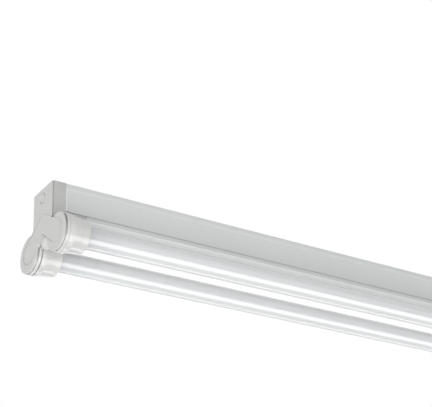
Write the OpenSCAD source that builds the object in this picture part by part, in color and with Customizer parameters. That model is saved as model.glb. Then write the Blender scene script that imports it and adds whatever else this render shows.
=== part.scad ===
// Twin linear batten light fixture for two tubular lamps, sealed by screw rings.
// The origin is the middle of the face that lies on the ceiling. X runs along the lamps, Z is up.
// Depths called _x are measured from an end face of the fixture inwards, along the lamps.

/* [Lamps] */
// Diameter of the glass tube
lamp_d = 26; // [24:0.5:28]
// Length over the two lamp caps, without the pins
lamp_len = 1199.4; // [580:0.1:1500]
// Distance between the two lamp axes
lamp_pitch = 70; // [68:1:84]
// Depth of the lamp axes below the ceiling
lamp_drop = 70.4; // [70:0.2:84]
// Thickness of the glass
glass_wall = 0.8; // [0.6:0.1:1.2]
// Length of a metal lamp cap
ferrule_len = 12.5; // [10:0.5:16]
// Thickness of a lamp cap's sleeve
ferrule_wall = 0.5; // [0.4:0.1:0.8]
// Diameter of a lamp pin
pin_d = 2.35; // [2:0.05:2.6]
// Distance between the two pins of a cap
pin_pitch = 12.7; // [11:0.1:14]
// Length of a pin outside its cap
pin_len = 7.1; // [6:0.1:7.3]
// Length of the glass stem that carries a cathode
stem_len = 22; // [15:1:30]

/* [Spine] */
// Width over the end caps and over the strip along the spine's top edge
body_w = 48.2; // [46:0.2:52]
// Height of the spine's side faces
spine_h = 36; // [34:0.5:40]
// Thickness of the sheet metal
sheet = 0.8; // [0.6:0.1:1]
// How far the side faces stand back from the top strip and the end caps
side_step = 0.3; // [0.1:0.1:0.6]
// Height of the strip along the top edge
strip_h = 6.8; // [4:0.2:10]
// Distance between the two ceiling fixing slots
fixing_pitch = 800; // [300:10:900]
// Width of a ceiling fixing slot
fixing_w = 6; // [4:0.5:8]
// Length of a ceiling fixing slot
fixing_len = 12; // [10:1:20]
// Distance of the cable entry from the middle of the spine
entry_pos = 300; // [240:5:340]
// Diameter of the cable hole in the grommet
entry_bore = 9; // [6:0.5:12]

/* [Gear tray] */
// How far the tray's lips stand back from the side faces
tray_inset = 1.6; // [1.4:0.1:2.4]
// Height of the tray's lip that shows below the side faces
tray_lip = 5.4; // [4:0.2:8]
// Size of the bevel between the lip and the flat bottom
tray_bevel = 4.2; // [3:0.2:6]
// Height of the tray's lip that is tucked into the spine
tray_tuck = 3; // [2:0.5:4]
// Distance of a tray screw from the end of the fixture
tray_screw_x = 100; // [85:5:130]
// Diameter of the tray screw's thread
tray_screw_d = 4.8; // [4:0.2:6]
// Diameter of the tray screw's head
tray_head_d = 9; // [8:0.5:12]
// Height of the tray screw's head
tray_head_h = 2; // [1.5:0.1:3]

/* [End caps] */
// Depth of an end cap along the lamps
cap_depth = 17.5; // [15:0.5:24]
// Thickness of the end cap's face
cap_face = 2; // [2:0.2:3]
// Thickness of the end cap's other walls
cap_wall = 1.8; // [1.4:0.1:2.4]
// Length of the spigot inside the spine
spigot_len = 8; // [6:1:12]
// How far the cap's apron reaches along the spine's underside
apron_x = 44; // [44:1:60]
// Half the width of an arm, and the radius of its round end
arm_r = 14; // [12:0.5:15]
// Height of the point where the two arms meet, below the ceiling
arm_meet = 41; // [38:1:44]
// How far the arms stand proud of the end face
arm_proud = 1.2; // [0.6:0.1:2]
// Radius of a round end disc
disc_r = 22.8; // [20:0.2:23]
// Thickness of a disc at its rim
disc_rim = 0.8; // [0.6:0.1:1.4]
// How far a disc's face rises from its rim to the arm
disc_rise = 0.8; // [0.2:0.1:1.1]
// Width of the wire channel in an arm
channel_w = 6; // [4:0.5:8]
// Radius of the blind plug's head
plug_r = 6.4; // [5:0.1:7]
// Place of the blind plug across the end face
plug_y = 2; // [-4:0.5:4]
// Depth of the blind plug's centre below the ceiling
plug_drop = 12.2; // [10:0.2:14]

/* [Lampholders] */
// Width of the groove between a disc and its lampholder
groove_w = 2.2; // [1.4:0.1:3]
// Radius of the lampholder's flange
flange_r = 23.2; // [22.4:0.1:24]
// Thickness of the lampholder's flange
flange_t = 3.8; // [3:0.1:5]
// Radius over the lampholder's thread
thread_r = 20.4; // [19.4:0.1:21]
// Depth of the thread
thread_depth = 0.8; // [0.4:0.1:1]
// Pitch of the thread
thread_pitch = 4; // [3:0.5:5]
// Length of the threaded collar
collar_len = 6.6; // [6:0.2:9]
// Radius of the rotor that the lamp pins turn
rotor_r = 10.5; // [9.5:0.1:11.5]
// Thickness of the rotor
rotor_t = 3; // [2:0.2:4]

/* [Screw rings] */
// Length of a screw ring
ring_len = 26.8; // [25:0.2:32]
// Radius of a screw ring at its grip band
ring_r = 23.2; // [22.6:0.1:24]
// Radius of a screw ring at the lamp's side
ring_nose_r = 20.4; // [20:0.1:21]
// Length of the grip band
grip_len = 5.6; // [4:0.2:8]
// Depth of the step behind the grip band
grip_step = 0.5; // [0.2:0.1:0.8]
// Gap between the lampholder's flange and the front lamp's rings
front_gap = 0.3; // [0.2:0.1:1]
// Gap between the lampholder's flange and the rear lamp's rings
rear_gap = 0.9; // [0.2:0.1:1.2]
// Radius of the seal's outside
seal_r = 18.4; // [17.6:0.1:18.6]
// Radius of the seal's nose, which shows at the ring's mouth
seal_nose_r = 16; // [15.2:0.1:16.6]
// How far the seal's nose stands out of the ring
seal_out = 1.4; // [0.5:0.1:3]

/* [Ballast] */
// Length of the ballast
ballast_len = 280; // [200:10:360]
// Width of the ballast
ballast_w = 30; // [26:1:34]
// Height of the ballast
ballast_h = 20; // [16:0.5:22]

/* [Hidden] */
$fn = 64;
wire_fn = 16;

// Ends and rows: the left end is at -X, and the front row is the one at -Y
LEFT = -1;
RIGHT = 1;
FRONT = -1;
REAR = 1;

// Clearances
eps = 0.01;
run_gap = 0.3;      // between pieces that move past each other
fit_gap = 0.1;      // between pieces that are assembled and stay put
thread_gap = 0.4;   // between the two threads

// Colours
paint_grey = "#cfd2d1";
paint_white = "#f2f2f0";
plastic_grey = "#d2d2d0";
plastic_white = "#e6e5e2";
rubber_grey = "#bdbfc0";
glass_white = "#eef1f2";
steel = "#c3c6c8";
alloy = "#cfd1d3";
brass = "#c9a85a";
board_green = "#2f6b45";
lead_white = "#dedddb";
dark_plastic = "#3b3d40";

// Depths from an end face
collar_x = disc_rim + groove_w + flange_t;
collar_end_x = collar_x + collar_len;
lamp_x = collar_end_x + fit_gap;
half_len = lamp_len / 2 + lamp_x;
spine_x = cap_depth;
flange_x = disc_rim + groove_w;

// Spine
side_w = body_w - 2 * side_step;
inner_w = side_w - 2 * sheet;
joggle = side_step;

// Gear tray
tray_w = side_w - 2 * tray_inset;
tray_z = -(spine_h + tray_lip + tray_bevel);
tray_top_z = -(spine_h - tray_tuck);
tray_x = apron_x + 2 * run_gap;
tray_floor_z = tray_z + sheet;
gasket_t = 0.5;
gasket_h = 4;
stud_r = 2;
stud_h = 7;
stud_out = 8;       // how far a ballast stud stands outside the ballast
nut_r = 3.8;
nut_h = 3.2;

// Tray anchor and screw
anchor_z = tray_top_z + 4.6;
anchor_t = 1.6;
anchor_len = 20;
anchor_tab = 11;
anchor_boss_r = 4.6;
anchor_boss_h = 2.4;
screw_fit = 0.06;
screw_top = 2;      // how far the screw passes its anchor
screw_slot_w = 1.2;
screw_slot_h = 1.1;
screw_neck_r = tray_screw_d / 2 + 0.5;
washer_r = 5;
washer_t = 0.8;

// Lamp
lamp_r = lamp_d / 2;
ferrule_r = lamp_r + 0.1;
ferrule_end = 1.5;
neck_r = ferrule_r - ferrule_wall - fit_gap;
neck_len = 7.5;
pin_inside = 3;
stem_disc_t = 1.5;
stem_r = 3.4;
wire_r = 0.4;
wire_len = 10;
wire_spread = 5;
coil_r = 0.8;

// Lampholder
rotor_bore_r = rotor_r + run_gap;
pin_pocket_x = lamp_x - pin_len - run_gap;
slot_w = pin_d + 2 * run_gap;
contact_t = 0.6;
contact_w = 5;
contact_r = pin_pitch / 2 + pin_d / 2 + 0.4;
contact_x0 = flange_x + run_gap;
contact_x1 = collar_end_x - rotor_t - run_gap;

// Screw ring and seal
ring_bore_r = thread_r + thread_gap;
seal_bore_r = ferrule_r + run_gap;
seal_room_r = seal_r + run_gap;
mouth_r = seal_nose_r + run_gap;
mouth_t = 2.2;
thread_room = collar_len + 2;
seal_back = thread_room + 1.2;
nose_round = 1.6;

// Leads
lead_r = 0.75;
lead_y = 16;
lead_z = -6;
lead_end = ballast_len / 2 + 30;
channel_x = 0.4 - arm_proud / 4;
channel_d = 2 * lead_r + 0.4;
socket_len = 16;
socket_h = 9;
socket_w = 7;
clip_len = 6;
clip_w = 7;

// Cable entry and mains parts
grommet_r = 8;
grommet_lip = 2.5;
grommet_t = 2;
block_pos = 200;
block_len = 36;
block_w = 20;
block_h = 14;
pole_pitch = 11;
pole_r = 2.4;
earth_pos = 236;
earth_h = 10;
earth_r = 2;

// Moves its children from an end's own depths to that end of the fixture
module at_end(end) {
    if (end == LEFT) translate([-half_len, 0, 0]) children();
    else mirror([1, 0, 0]) translate([-half_len, 0, 0]) children();
}

// Moves its children to the axis of the lamp in that row
module at_lamp(row) {
    translate([0, row * lamp_pitch / 2, -lamp_drop]) children();
}

// Cylinder along X between two depths
module rod(r, x0, x1) {
    translate([x0, 0, 0]) rotate([0, 90, 0]) cylinder(r = r, h = x1 - x0);
}

// Cone along X between two depths
module cone(r0, r1, x0, x1) {
    translate([x0, 0, 0]) rotate([0, 90, 0]) cylinder(r1 = r0, r2 = r1, h = x1 - x0);
}

// Block between two corners
module block(low, high) {
    translate(low) cube(high - low);
}

// Block along X, centred on Y
module beam(x0, x1, w, z0, z1) {
    block([x0, -w / 2, z0], [x1, w / 2, z1]);
}

// Turned piece: its outline is given as points of depth and radius
module turned(outline) {
    rotate([0, 90, 0]) rotate([0, 0, 90]) rotate_extrude() polygon([for (p = outline) [p[1], p[0]]]);
}

// Section drawn as points of Y and Z, drawn out along X between two depths
module drawn(outline, x0, x1) {
    translate([x0, 0, 0]) rotate([90, 0, 90]) linear_extrude(height = x1 - x0) polygon(outline);
}

// Straight round wire between two points, with a round end that is a little fuller than the wire
bend_swell = 0.04;
module wire(a, b, r) {
    d = b - a;
    translate(a) rotate([0, acos(d[2] / norm(d)), atan2(d[1], d[0])])
        cylinder(r = r, h = norm(d), $fn = wire_fn);
    translate(b) sphere(r = r + bend_swell, $fn = wire_fn);
}

// Section of the tray or of the end cap's apron, with a given wall
module tray_section(wall, x0, x1) {
    w = tray_w / 2;
    flat = w - tray_bevel;
    knee = tray_z + tray_bevel;
    lean = wall * (sqrt(2) - 1);
    drawn([[-w, tray_top_z], [-w, knee], [-flat, tray_z], [flat, tray_z], [w, knee],
        [w, tray_top_z], [w - wall, tray_top_z], [w - wall, knee + lean],
        [flat - lean, tray_z + wall], [-flat + lean, tray_z + wall],
        [-w + wall, knee + lean], [-w + wall, tray_top_z]], x0, x1);
}

// Channel of the spine, with its top strip, fixing slots, cable entry and end screw holes
module spine_channel() {
    color(paint_grey) difference() {
        drawn([[-body_w / 2, 0], [-body_w / 2, -strip_h], [-side_w / 2, -strip_h - joggle],
            [-side_w / 2, -spine_h], [-inner_w / 2, -spine_h], [-inner_w / 2, -sheet],
            [inner_w / 2, -sheet], [inner_w / 2, -spine_h], [side_w / 2, -spine_h],
            [side_w / 2, -strip_h - joggle], [body_w / 2, -strip_h], [body_w / 2, 0]],
            -half_len + spine_x, half_len - spine_x);
        for (s = [LEFT, RIGHT]) translate([s * fixing_pitch / 2, 0, -sheet - 1]) {
            for (e = [-1, 1]) translate([e * (fixing_len - fixing_w) / 2, 0, 0])
                cylinder(d = fixing_w, h = sheet + 2);
            translate([-(fixing_len - fixing_w) / 2, -fixing_w / 2, 0])
                cube([fixing_len - fixing_w, fixing_w, sheet + 2]);
        }
        translate([-entry_pos, 0, -sheet - 1]) cylinder(r = grommet_r, h = sheet + 2);
        for (e = [LEFT, RIGHT]) at_end(e) cap_screw_spots()
            translate([0, 0, -sheet - 1]) cylinder(r = cap_head_r + fit_gap, h = sheet + 2);
    }
}

// Screws of the end caps, sunk in the spine's top
cap_head_r = 2.8;
cap_shank_r = 1.3;
cap_shank_len = 7;
module cap_screw_spots() {
    for (s = [-1, 1]) translate([spine_x + spigot_len / 2, s * inner_w / 4, 0]) children();
}
module cap_screws() {
    color(steel) for (e = [LEFT, RIGHT]) at_end(e) cap_screw_spots() {
        translate([0, 0, -sheet]) cylinder(r = cap_head_r, h = sheet - fit_gap);
        translate([0, 0, -cap_shank_len]) cylinder(r = cap_shank_r, h = cap_shank_len - sheet + eps);
    }
}

// How far a disc's cone reaches under the arm's round end
disc_lap = 1;

// Direction of an arm, from the point where the arms meet to the lamp axis
arm_dy = lamp_pitch / 2;
arm_dz = lamp_drop - arm_meet;
arm_len = sqrt(arm_dy * arm_dy + arm_dz * arm_dz);
arm_tilt = atan2(arm_dz, arm_dy);

// Runs its child along an arm: the child's Y points from the meeting point to the lamp axis
module along_arm(row) {
    translate([0, 0, -arm_meet]) mirror([0, row == FRONT ? 1 : 0, 0]) rotate([-arm_tilt, 0, 0]) children();
}

// Bar of an arm with a round end at the lamp axis
module arm_bar(r, x0, x1) {
    block([x0, 0, -r], [x1, arm_len, r]);
    translate([0, arm_len, 0]) rod(r, x0, x1);
    rod(r, x0, x1);
}

// End cap in its own depths: box, spigot, apron, arms and discs
module end_cap() {
    color(plastic_grey) difference() {
        union() {
            difference() {
                beam(0, cap_depth, body_w, tray_z, 0);
                beam(cap_face, cap_depth + 1, body_w - 2 * cap_wall, tray_z + cap_wall, -cap_wall);
            }
            spigot();
            tray_section(cap_wall, cap_depth - cap_wall, apron_x);
            for (row = [FRONT, REAR]) {
                along_arm(row) arm_bar(arm_r, -arm_proud, flange_x);
                at_lamp(row) {
                    rod(disc_r, 0, disc_rim);
                    cone(arm_r - disc_lap, disc_r, -disc_rise, 0);
                }
            }
        }
        for (row = [FRONT, REAR]) {
            along_arm(row) block([channel_x, 0, -channel_w / 2],
                [channel_x + channel_d, arm_len, channel_w / 2]);
            at_lamp(row) rod(channel_w / 2, channel_x, flange_x + 1);
        }
        translate([0, 0, -arm_meet]) block([channel_x, -arm_r / 2, -1], [flange_x + 1, arm_r / 2, arm_r / 2]);
        translate([0, plug_y, -plug_drop]) rod(plug_hole_r, -1, cap_face + 1);
        cap_screw_spots() translate([0, 0, -cap_shank_len]) cylinder(r = cap_shank_r + fit_gap, h = cap_shank_len);
    }
}

// Spigot of the end cap, open below, that fits inside the spine
module spigot() {
    w = inner_w - 2 * fit_gap;
    z1 = -sheet - fit_gap;
    z0 = tray_top_z + 3;
    difference() {
        beam(cap_depth - cap_wall, cap_depth + spigot_len, w, z0, z1);
        beam(cap_depth - cap_wall - 1, cap_depth + spigot_len + 1, w - 2 * cap_wall, z0 - 1, z1 - cap_wall);
    }
}

// Blind plug in the end cap's face, with a snap rim behind it
plug_hole_r = plug_r - 1.2;
plug_head = 0.8;
plug_wall = 1.2;
module entry_plug() {
    color(plastic_white) translate([0, plug_y, -plug_drop]) difference() {
        union() {
            rod(plug_r, -plug_head, 0);
            rod(plug_hole_r - fit_gap, -plug_head, cap_face + plug_wall);
            rod(plug_hole_r + 2 * fit_gap, cap_face + fit_gap, cap_face + plug_wall);
        }
        rod(plug_hole_r - plug_wall, plug_head, cap_face + plug_wall + 1);
    }
}

// Outline of a thread ridge, in pitches along the collar and depths below the crest
ridge_foot = thread_r / thread_depth / 2;
thread_ridge = [[0.1, ridge_foot], [0.1, 1], [0.225, 0], [0.475, 0], [0.6, 1], [0.6, ridge_foot]];

// Body of a lampholder: flange, threaded collar, rotor seat, and the slot the pins drop through
module holder() {
    color(plastic_white) difference() {
        union() {
            rod(flange_r, flange_x, collar_x);
            rod(thread_r - thread_depth, collar_x - eps, collar_end_x);
            for (i = [0 : floor(collar_len / thread_pitch)])
                if ((i + 0.6) * thread_pitch < collar_len) translate([collar_x + i * thread_pitch, 0, 0])
                    turned([for (p = thread_ridge) [p[0] * thread_pitch, thread_r - p[1] * thread_depth]]);
        }
        rod(rotor_bore_r, pin_pocket_x, collar_end_x + 1);
        block([pin_pocket_x, -slot_w / 2, -flange_r - 1], [collar_end_x + 1, slot_w / 2, 0]);
        rod(channel_w / 2 - 1, flange_x - 1, pin_pocket_x + 1);
        for (s = [-1, 1]) contact_seat(s, fit_gap);
    }
}

// Room of a lampholder's contact, or the contact itself with no gap
module contact_seat(s, gap) {
    y0 = s * (contact_r + contact_t / 2);
    translate([0, y0, 0]) block([contact_x0 - gap, -contact_t / 2 - gap, -contact_w / 2 - gap],
        [contact_x1 + gap, contact_t / 2 + gap, contact_w / 2 + gap]);
}

// The four contacts at one end of the fixture
module contacts() {
    color(brass) for (row = [FRONT, REAR]) at_lamp(row) for (s = [-1, 1]) contact_seat(s, 0);
}

// Points that a lead follows, from its socket on the spine to its lampholder
function lead_route(row) = [
    [half_len - lead_end, row * lead_y, lead_z],
    [cap_depth - 5, row * lead_y, lead_z],
    [cap_face + 4, row * 6, -arm_meet + 8],
    [channel_x + channel_d / 2, row * 3, -arm_meet - 0.5],
    [channel_x + channel_d / 2, row * (lamp_pitch / 2 - 1), -lamp_drop + tan(arm_tilt)],
    [pin_pocket_x - lead_r, row * lamp_pitch / 2, -lamp_drop]];

// The two leads of one end
module leads() {
    color(lead_white) for (row = [FRONT, REAR]) {
        p = lead_route(row);
        for (i = [1 : len(p) - 1]) wire(p[i - 1], p[i], lead_r);
    }
}

// Saddles that hold the leads under the spine's top
clip_places = [cap_depth + spigot_len + 20, half_len / 2, half_len - lead_end - 30];
module lead_clips() {
    color(plastic_white) for (e = [LEFT, RIGHT]) at_end(e) for (x = clip_places)
        for (row = [FRONT, REAR]) translate([x, row * lead_y, 0]) difference() {
            beam(0, clip_len, clip_w, lead_z - 2 * lead_r, -sheet);
            translate([0, 0, lead_z]) rod(lead_r + fit_gap, -1, clip_len + 1);
        }
}

// Sockets where the leads end, next to the ballast
module lead_sockets() {
    color(plastic_white) for (e = [LEFT, RIGHT]) at_end(e) for (row = [FRONT, REAR])
        translate([half_len - lead_end - socket_len / 2, row * lead_y, 0]) difference() {
            beam(0, socket_len, socket_w, -sheet - socket_h, -sheet);
            translate([0, 0, lead_z]) rod(lead_r + fit_gap, -1, socket_len / 2 + 2 * lead_r);
            beam(socket_len * 0.65, socket_len + 1, socket_w - 2 * cap_wall, -sheet - socket_h + cap_wall,
                -sheet - cap_wall);
        }
}

// Mains terminal block under the spine's top
module terminal_block() {
    color(plastic_white) translate([-block_pos, 0, 0]) difference() {
        beam(-block_len / 2, block_len / 2, block_w, -sheet - block_h, -sheet);
        for (i = [-1 : 1]) translate([i * pole_pitch, 0, -sheet - block_h / 2]) {
            translate([0, -block_w / 2 - 1, 0]) rotate([-90, 0, 0]) cylinder(r = pole_r, h = block_w + 2);
            translate([0, 0, -block_h]) cylinder(r = pole_r, h = block_h);
        }
    }
}

// Brass clamping screws of the terminal block
module terminal_screws() {
    color(brass) for (i = [-1 : 1])
        translate([-block_pos + i * pole_pitch, 0, -sheet - block_h + 0.6]) difference() {
            cylinder(r = pole_r - fit_gap, h = block_h / 2 - pole_r - 0.6);
            block([-pole_r, -0.4, -1], [pole_r, 0.4, 0.8]);
        }
}

// Earth stud of the spine with its nut and ring tag
module earth_stud() {
    color(brass) translate([-earth_pos, 0, 0]) {
        translate([0, 0, -sheet - earth_h]) cylinder(r = earth_r, h = earth_h);
        translate([0, 0, -sheet - 2 - nut_h]) cylinder(r = nut_r, h = nut_h, $fn = 6);
        translate([0, 0, -sheet - 2]) cylinder(r = nut_r, h = 2);
    }
}

// Rubber grommet in the cable entry
module cable_grommet() {
    color(dark_plastic) translate([-entry_pos, 0, -sheet - grommet_t]) difference() {
        union() {
            cylinder(r = grommet_r - fit_gap, h = grommet_t + sheet);
            cylinder(r = grommet_r + grommet_lip, h = grommet_t);
        }
        translate([0, 0, -1]) cylinder(d = entry_bore, h = grommet_t + sheet + 2);
    }
}

// Bridge across the spine that takes a tray screw
module tray_anchor() {
    w = inner_w - 2 * fit_gap;
    color(steel) translate([tray_screw_x, 0, 0]) difference() {
        union() {
            beam(-anchor_len / 2, anchor_len / 2, w, anchor_z, anchor_z + anchor_t);
            for (s = [-1, 1]) translate([0, s * (w - anchor_t) / 2, 0])
                beam(-anchor_len / 2, anchor_len / 2, anchor_t, anchor_z, anchor_z + anchor_tab);
            translate([0, 0, anchor_z - anchor_boss_h]) cylinder(r = anchor_boss_r, h = anchor_boss_h + eps);
        }
        translate([0, 0, anchor_z - anchor_boss_h - 1])
            cylinder(r = tray_screw_d / 2 + screw_fit, h = anchor_boss_h + anchor_t + 2);
    }
}

// Captive screw of the tray, with its slotted head below the tray
module tray_screw() {
    top_z = anchor_z + anchor_t + screw_top;
    color(steel) translate([tray_screw_x, 0, 0]) difference() {
        union() {
            translate([0, 0, tray_z - tray_head_h - fit_gap]) cylinder(d = tray_head_d, h = tray_head_h);
            translate([0, 0, tray_z - 1]) cylinder(d = tray_screw_d, h = top_z - tray_z + 1);
        }
        block([-tray_head_d, -screw_slot_w / 2, tray_z - tray_head_h - fit_gap - 1],
            [tray_head_d, screw_slot_w / 2, tray_z - tray_head_h - fit_gap + screw_slot_h]);
    }
}

// Washer that keeps the screw in the tray
module screw_washer() {
    color(steel) translate([tray_screw_x, 0, tray_floor_z + fit_gap]) difference() {
        cylinder(r = washer_r, h = washer_t);
        translate([0, 0, -1]) cylinder(r = tray_screw_d / 2 + eps, h = washer_t + 2);
    }
}

// Gear tray: the bevelled cover below the spine, with the ballast's studs
module gear_tray() {
    color(paint_white) difference() {
        union() {
            tray_section(sheet, -half_len + tray_x, half_len - tray_x);
            for (s = [LEFT, RIGHT]) translate([s * (ballast_len / 2 + stud_out), 0, tray_floor_z - eps])
                cylinder(r = stud_r, h = stud_h);
        }
        for (e = [LEFT, RIGHT]) at_end(e) translate([tray_screw_x, 0, tray_z - 1])
            cylinder(r = screw_neck_r, h = sheet + 2);
    }
}

// Rubber edging on the tray's tucked lips
module tray_gasket() {
    w = tray_w / 2;
    color(rubber_grey) for (s = [-1, 1]) scale([1, s, 1]) difference() {
        block([-half_len + tray_x, w - sheet - gasket_t - fit_gap / 2, tray_top_z - gasket_h + 1],
            [half_len - tray_x, w + gasket_t, tray_top_z + gasket_t + fit_gap]);
        block([-half_len, w - sheet - fit_gap / 2, tray_top_z - gasket_h],
            [half_len, w + fit_gap / 2, tray_top_z + fit_gap / 2]);
    }
}

// Ballast
case_tab = 2 * stud_out;
case_wall = 0.8;
module ballast_case() {
    z0 = tray_floor_z;
    l = ballast_len / 2;
    color(steel) difference() {
        union() {
            beam(-l, l, ballast_w, z0, z0 + ballast_h - case_wall);
            beam(-l - case_tab, l + case_tab, ballast_w / 2, z0, z0 + 2 * case_wall);
        }
        beam(-l + case_wall, l - case_wall, ballast_w - 2 * case_wall, z0 + case_wall, z0 + ballast_h);
        beam(-l - 1, l + 1, terminal_w + 2 * fit_gap, z0 + terminal_z, z0 + ballast_h);
        for (s = [-1, 1]) translate([s * (l + stud_out), 0, z0 - 1])
            cylinder(r = stud_r + fit_gap, h = 2 * case_wall + 2);
    }
}
module ballast_lid() {
    z1 = tray_floor_z + ballast_h;
    l = ballast_len / 2;
    w = ballast_w + 2 * case_wall + 2 * fit_gap;
    color(steel) difference() {
        beam(-l, l, w, z1 - 6, z1);
        beam(-l - 1, l + 1, ballast_w + 2 * fit_gap, z1 - 7, z1 - case_wall);
    }
}
terminal_w = 20;
terminal_z = 4;
terminal_len = 14;
module ballast_terminals() {
    z0 = tray_floor_z + terminal_z + fit_gap;
    z1 = tray_floor_z + ballast_h - case_wall - fit_gap;
    color(plastic_white) for (s = [LEFT, RIGHT]) scale([s, 1, 1]) difference() {
        beam(ballast_len / 2 - terminal_len + 2, ballast_len / 2 + 2, terminal_w, z0, z1);
        for (i = [-1.5 : 1.5]) translate([0, i * terminal_w / 4.4, (z0 + z1) / 2])
            rod(1.2, ballast_len / 2 - 6, ballast_len / 2 + 3);
    }
}
module ballast_board() {
    z0 = tray_floor_z + case_wall;
    l = ballast_len / 2 - case_wall - fit_gap;
    w = ballast_w - 2 * case_wall - 2 * fit_gap;
    top = ballast_h - 3 * case_wall - 2;
    color(board_green) {
        beam(-l, l, w, z0 + fit_gap, z0 + 1.6);
        for (x = [-ballast_len / 4, 0, ballast_len / 4])
            beam(x - 11, x + 11, w * 0.7, z0 + 1.5, z0 + top);
        for (x = [-ballast_len / 8, ballast_len / 8]) translate([x, 0, z0 + 1.5]) cylinder(r = 6, h = top - 2);
    }
}
module ballast_nuts() {
    color(steel) for (s = [LEFT, RIGHT])
        translate([s * (ballast_len / 2 + stud_out), 0, tray_floor_z + 2 * case_wall]) difference() {
            cylinder(r = nut_r, h = nut_h, $fn = 6);
            translate([0, 0, -1]) cylinder(r = stud_r + screw_fit, h = nut_h + 2);
        }
}

// Glass tube of a lamp, necked down inside its caps
module lamp_glass() {
    l = half_len;
    x1 = lamp_x + ferrule_len;
    x0 = x1 - neck_len;
    color(glass_white) turned([[-l + x0, neck_r - glass_wall], [-l + x0, neck_r], [-l + x1, neck_r],
        [-l + x1, lamp_r], [l - x1, lamp_r], [l - x1, neck_r], [l - x0, neck_r],
        [l - x0, neck_r - glass_wall], [l - x1 - 1, neck_r - glass_wall],
        [l - x1 - 1, lamp_r - glass_wall], [-l + x1 + 1, lamp_r - glass_wall],
        [-l + x1 + 1, neck_r - glass_wall]]);
}

// The two metal caps of a lamp
module lamp_ferrules() {
    color(alloy) for (e = [LEFT, RIGHT]) at_end(e) difference() {
        rod(ferrule_r, lamp_x, lamp_x + ferrule_len);
        rod(ferrule_r - ferrule_wall, lamp_x + ferrule_end, lamp_x + ferrule_len + 1);
        for (s = [-1, 1]) translate([0, s * pin_pitch / 2, 0]) rod(pin_d / 2 + screw_fit, 0, lamp_x + ferrule_len);
    }
}

// The four pins of a lamp
module lamp_pins() {
    color(brass) for (e = [LEFT, RIGHT]) at_end(e) for (s = [-1, 1]) translate([0, s * pin_pitch / 2, 0])
        rod(pin_d / 2, lamp_x - pin_len, lamp_x + pin_inside);
}

// The two cathodes of a lamp, each a flared stem with a coil on its wires
module lamp_cathodes() {
    x0 = lamp_x + ferrule_len - neck_len + 0.5;
    x1 = x0 + stem_len;
    color(glass_white) for (e = [LEFT, RIGHT]) at_end(e) {
        rod(neck_r - glass_wall - fit_gap, x0, x0 + stem_disc_t);
        rod(stem_r, x0, x1);
        for (s = [-1, 1]) translate([0, s * stem_r / 2, 0])
            wire([x1 - 2, 0, 0], [x1 + wire_len, s * wire_spread, 0], wire_r);
        translate([x1 + wire_len, -wire_spread - stem_r / 2, 0]) rotate([-90, 0, 0])
            cylinder(r = coil_r, h = 2 * wire_spread + stem_r);
    }
}

// The two rotors that turn with a lamp
module lamp_rotors() {
    color(plastic_white) for (e = [LEFT, RIGHT]) at_end(e) difference() {
        rod(rotor_r, collar_end_x - rotor_t, collar_end_x);
        block([0, -rotor_r - 1, -slot_w / 2], [collar_end_x + 1, contact_r, slot_w / 2]);
    }
}

// Distance of a screw ring's inner edge from the end face
function ring_x(row) = collar_x + (row == FRONT ? front_gap : rear_gap);

// Rubber seal between a lamp and its screw ring
module seal(row) {
    x = ring_x(row);
    x_back = x + seal_back;
    x_step = x + ring_len - mouth_t - run_gap;
    x_tip = x + ring_len + seal_out;
    color(rubber_grey) turned([[x_back, seal_bore_r], [x_back, seal_r - 1], [x_back + 1, seal_r],
        [x_step, seal_r], [x_step, seal_nose_r], [x_tip - 0.6, seal_nose_r], [x_tip, seal_nose_r - 0.6],
        [x_tip, seal_bore_r]]);
}

// Outline of the ring's rounded nose, from its outside round to its end face
function nose_arc(x, r) = [for (a = [0 : 15 : 90])
    [x - nose_round + nose_round * sin(a), r - nose_round + nose_round * cos(a)]];

// Screw ring: grip band, tapering body and rounded nose, threaded inside
module screw_ring(row) {
    x = ring_x(row);
    x_end = x + ring_len;
    color(plastic_white) turned(concat(
        [[x, ring_bore_r], [x, ring_r - 0.5], [x + 0.5, ring_r], [x + grip_len, ring_r],
            [x + grip_len + grip_step, ring_r - grip_step]],
        nose_arc(x_end, ring_nose_r),
        [[x_end, mouth_r], [x_end - mouth_t, mouth_r], [x_end - mouth_t, seal_room_r],
            [x + thread_room + 2, seal_room_r], [x + thread_room, ring_bore_r]]));
}

spine_channel();
at_end(LEFT) end_cap();  // end_cap_left
at_end(RIGHT) end_cap();  // end_cap_right
cap_screws();
at_end(LEFT) entry_plug();  // entry_plug_left
at_end(RIGHT) entry_plug();  // entry_plug_right
at_end(LEFT) at_lamp(FRONT) holder();  // holder_left_front
at_end(LEFT) at_lamp(REAR) holder();  // holder_left_rear
at_end(RIGHT) at_lamp(FRONT) holder();  // holder_right_front
at_end(RIGHT) at_lamp(REAR) holder();  // holder_right_rear
at_end(LEFT) contacts();  // contacts_left
at_end(RIGHT) contacts();  // contacts_right
at_end(LEFT) leads();  // leads_left
at_end(RIGHT) leads();  // leads_right
lead_clips();
lead_sockets();
terminal_block();
terminal_screws();
earth_stud();
cable_grommet();
at_end(LEFT) tray_anchor();  // tray_anchor_left
at_end(RIGHT) tray_anchor();  // tray_anchor_right
gear_tray();
tray_gasket();
ballast_case();
ballast_lid();
ballast_board();
ballast_terminals();
ballast_nuts();
at_end(LEFT) tray_screw();  // tray_screw_left
at_end(RIGHT) tray_screw();  // tray_screw_right
at_end(LEFT) screw_washer();  // screw_washer_left
at_end(RIGHT) screw_washer();  // screw_washer_right
at_lamp(FRONT) lamp_glass();  // lamp_front_glass
at_lamp(FRONT) lamp_ferrules();  // lamp_front_ferrules
at_lamp(FRONT) lamp_pins();  // lamp_front_pins
at_lamp(FRONT) lamp_cathodes();  // lamp_front_cathodes
at_lamp(FRONT) lamp_rotors();  // lamp_front_rotors
at_lamp(REAR) lamp_glass();  // lamp_rear_glass
at_lamp(REAR) lamp_ferrules();  // lamp_rear_ferrules
at_lamp(REAR) lamp_pins();  // lamp_rear_pins
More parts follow.
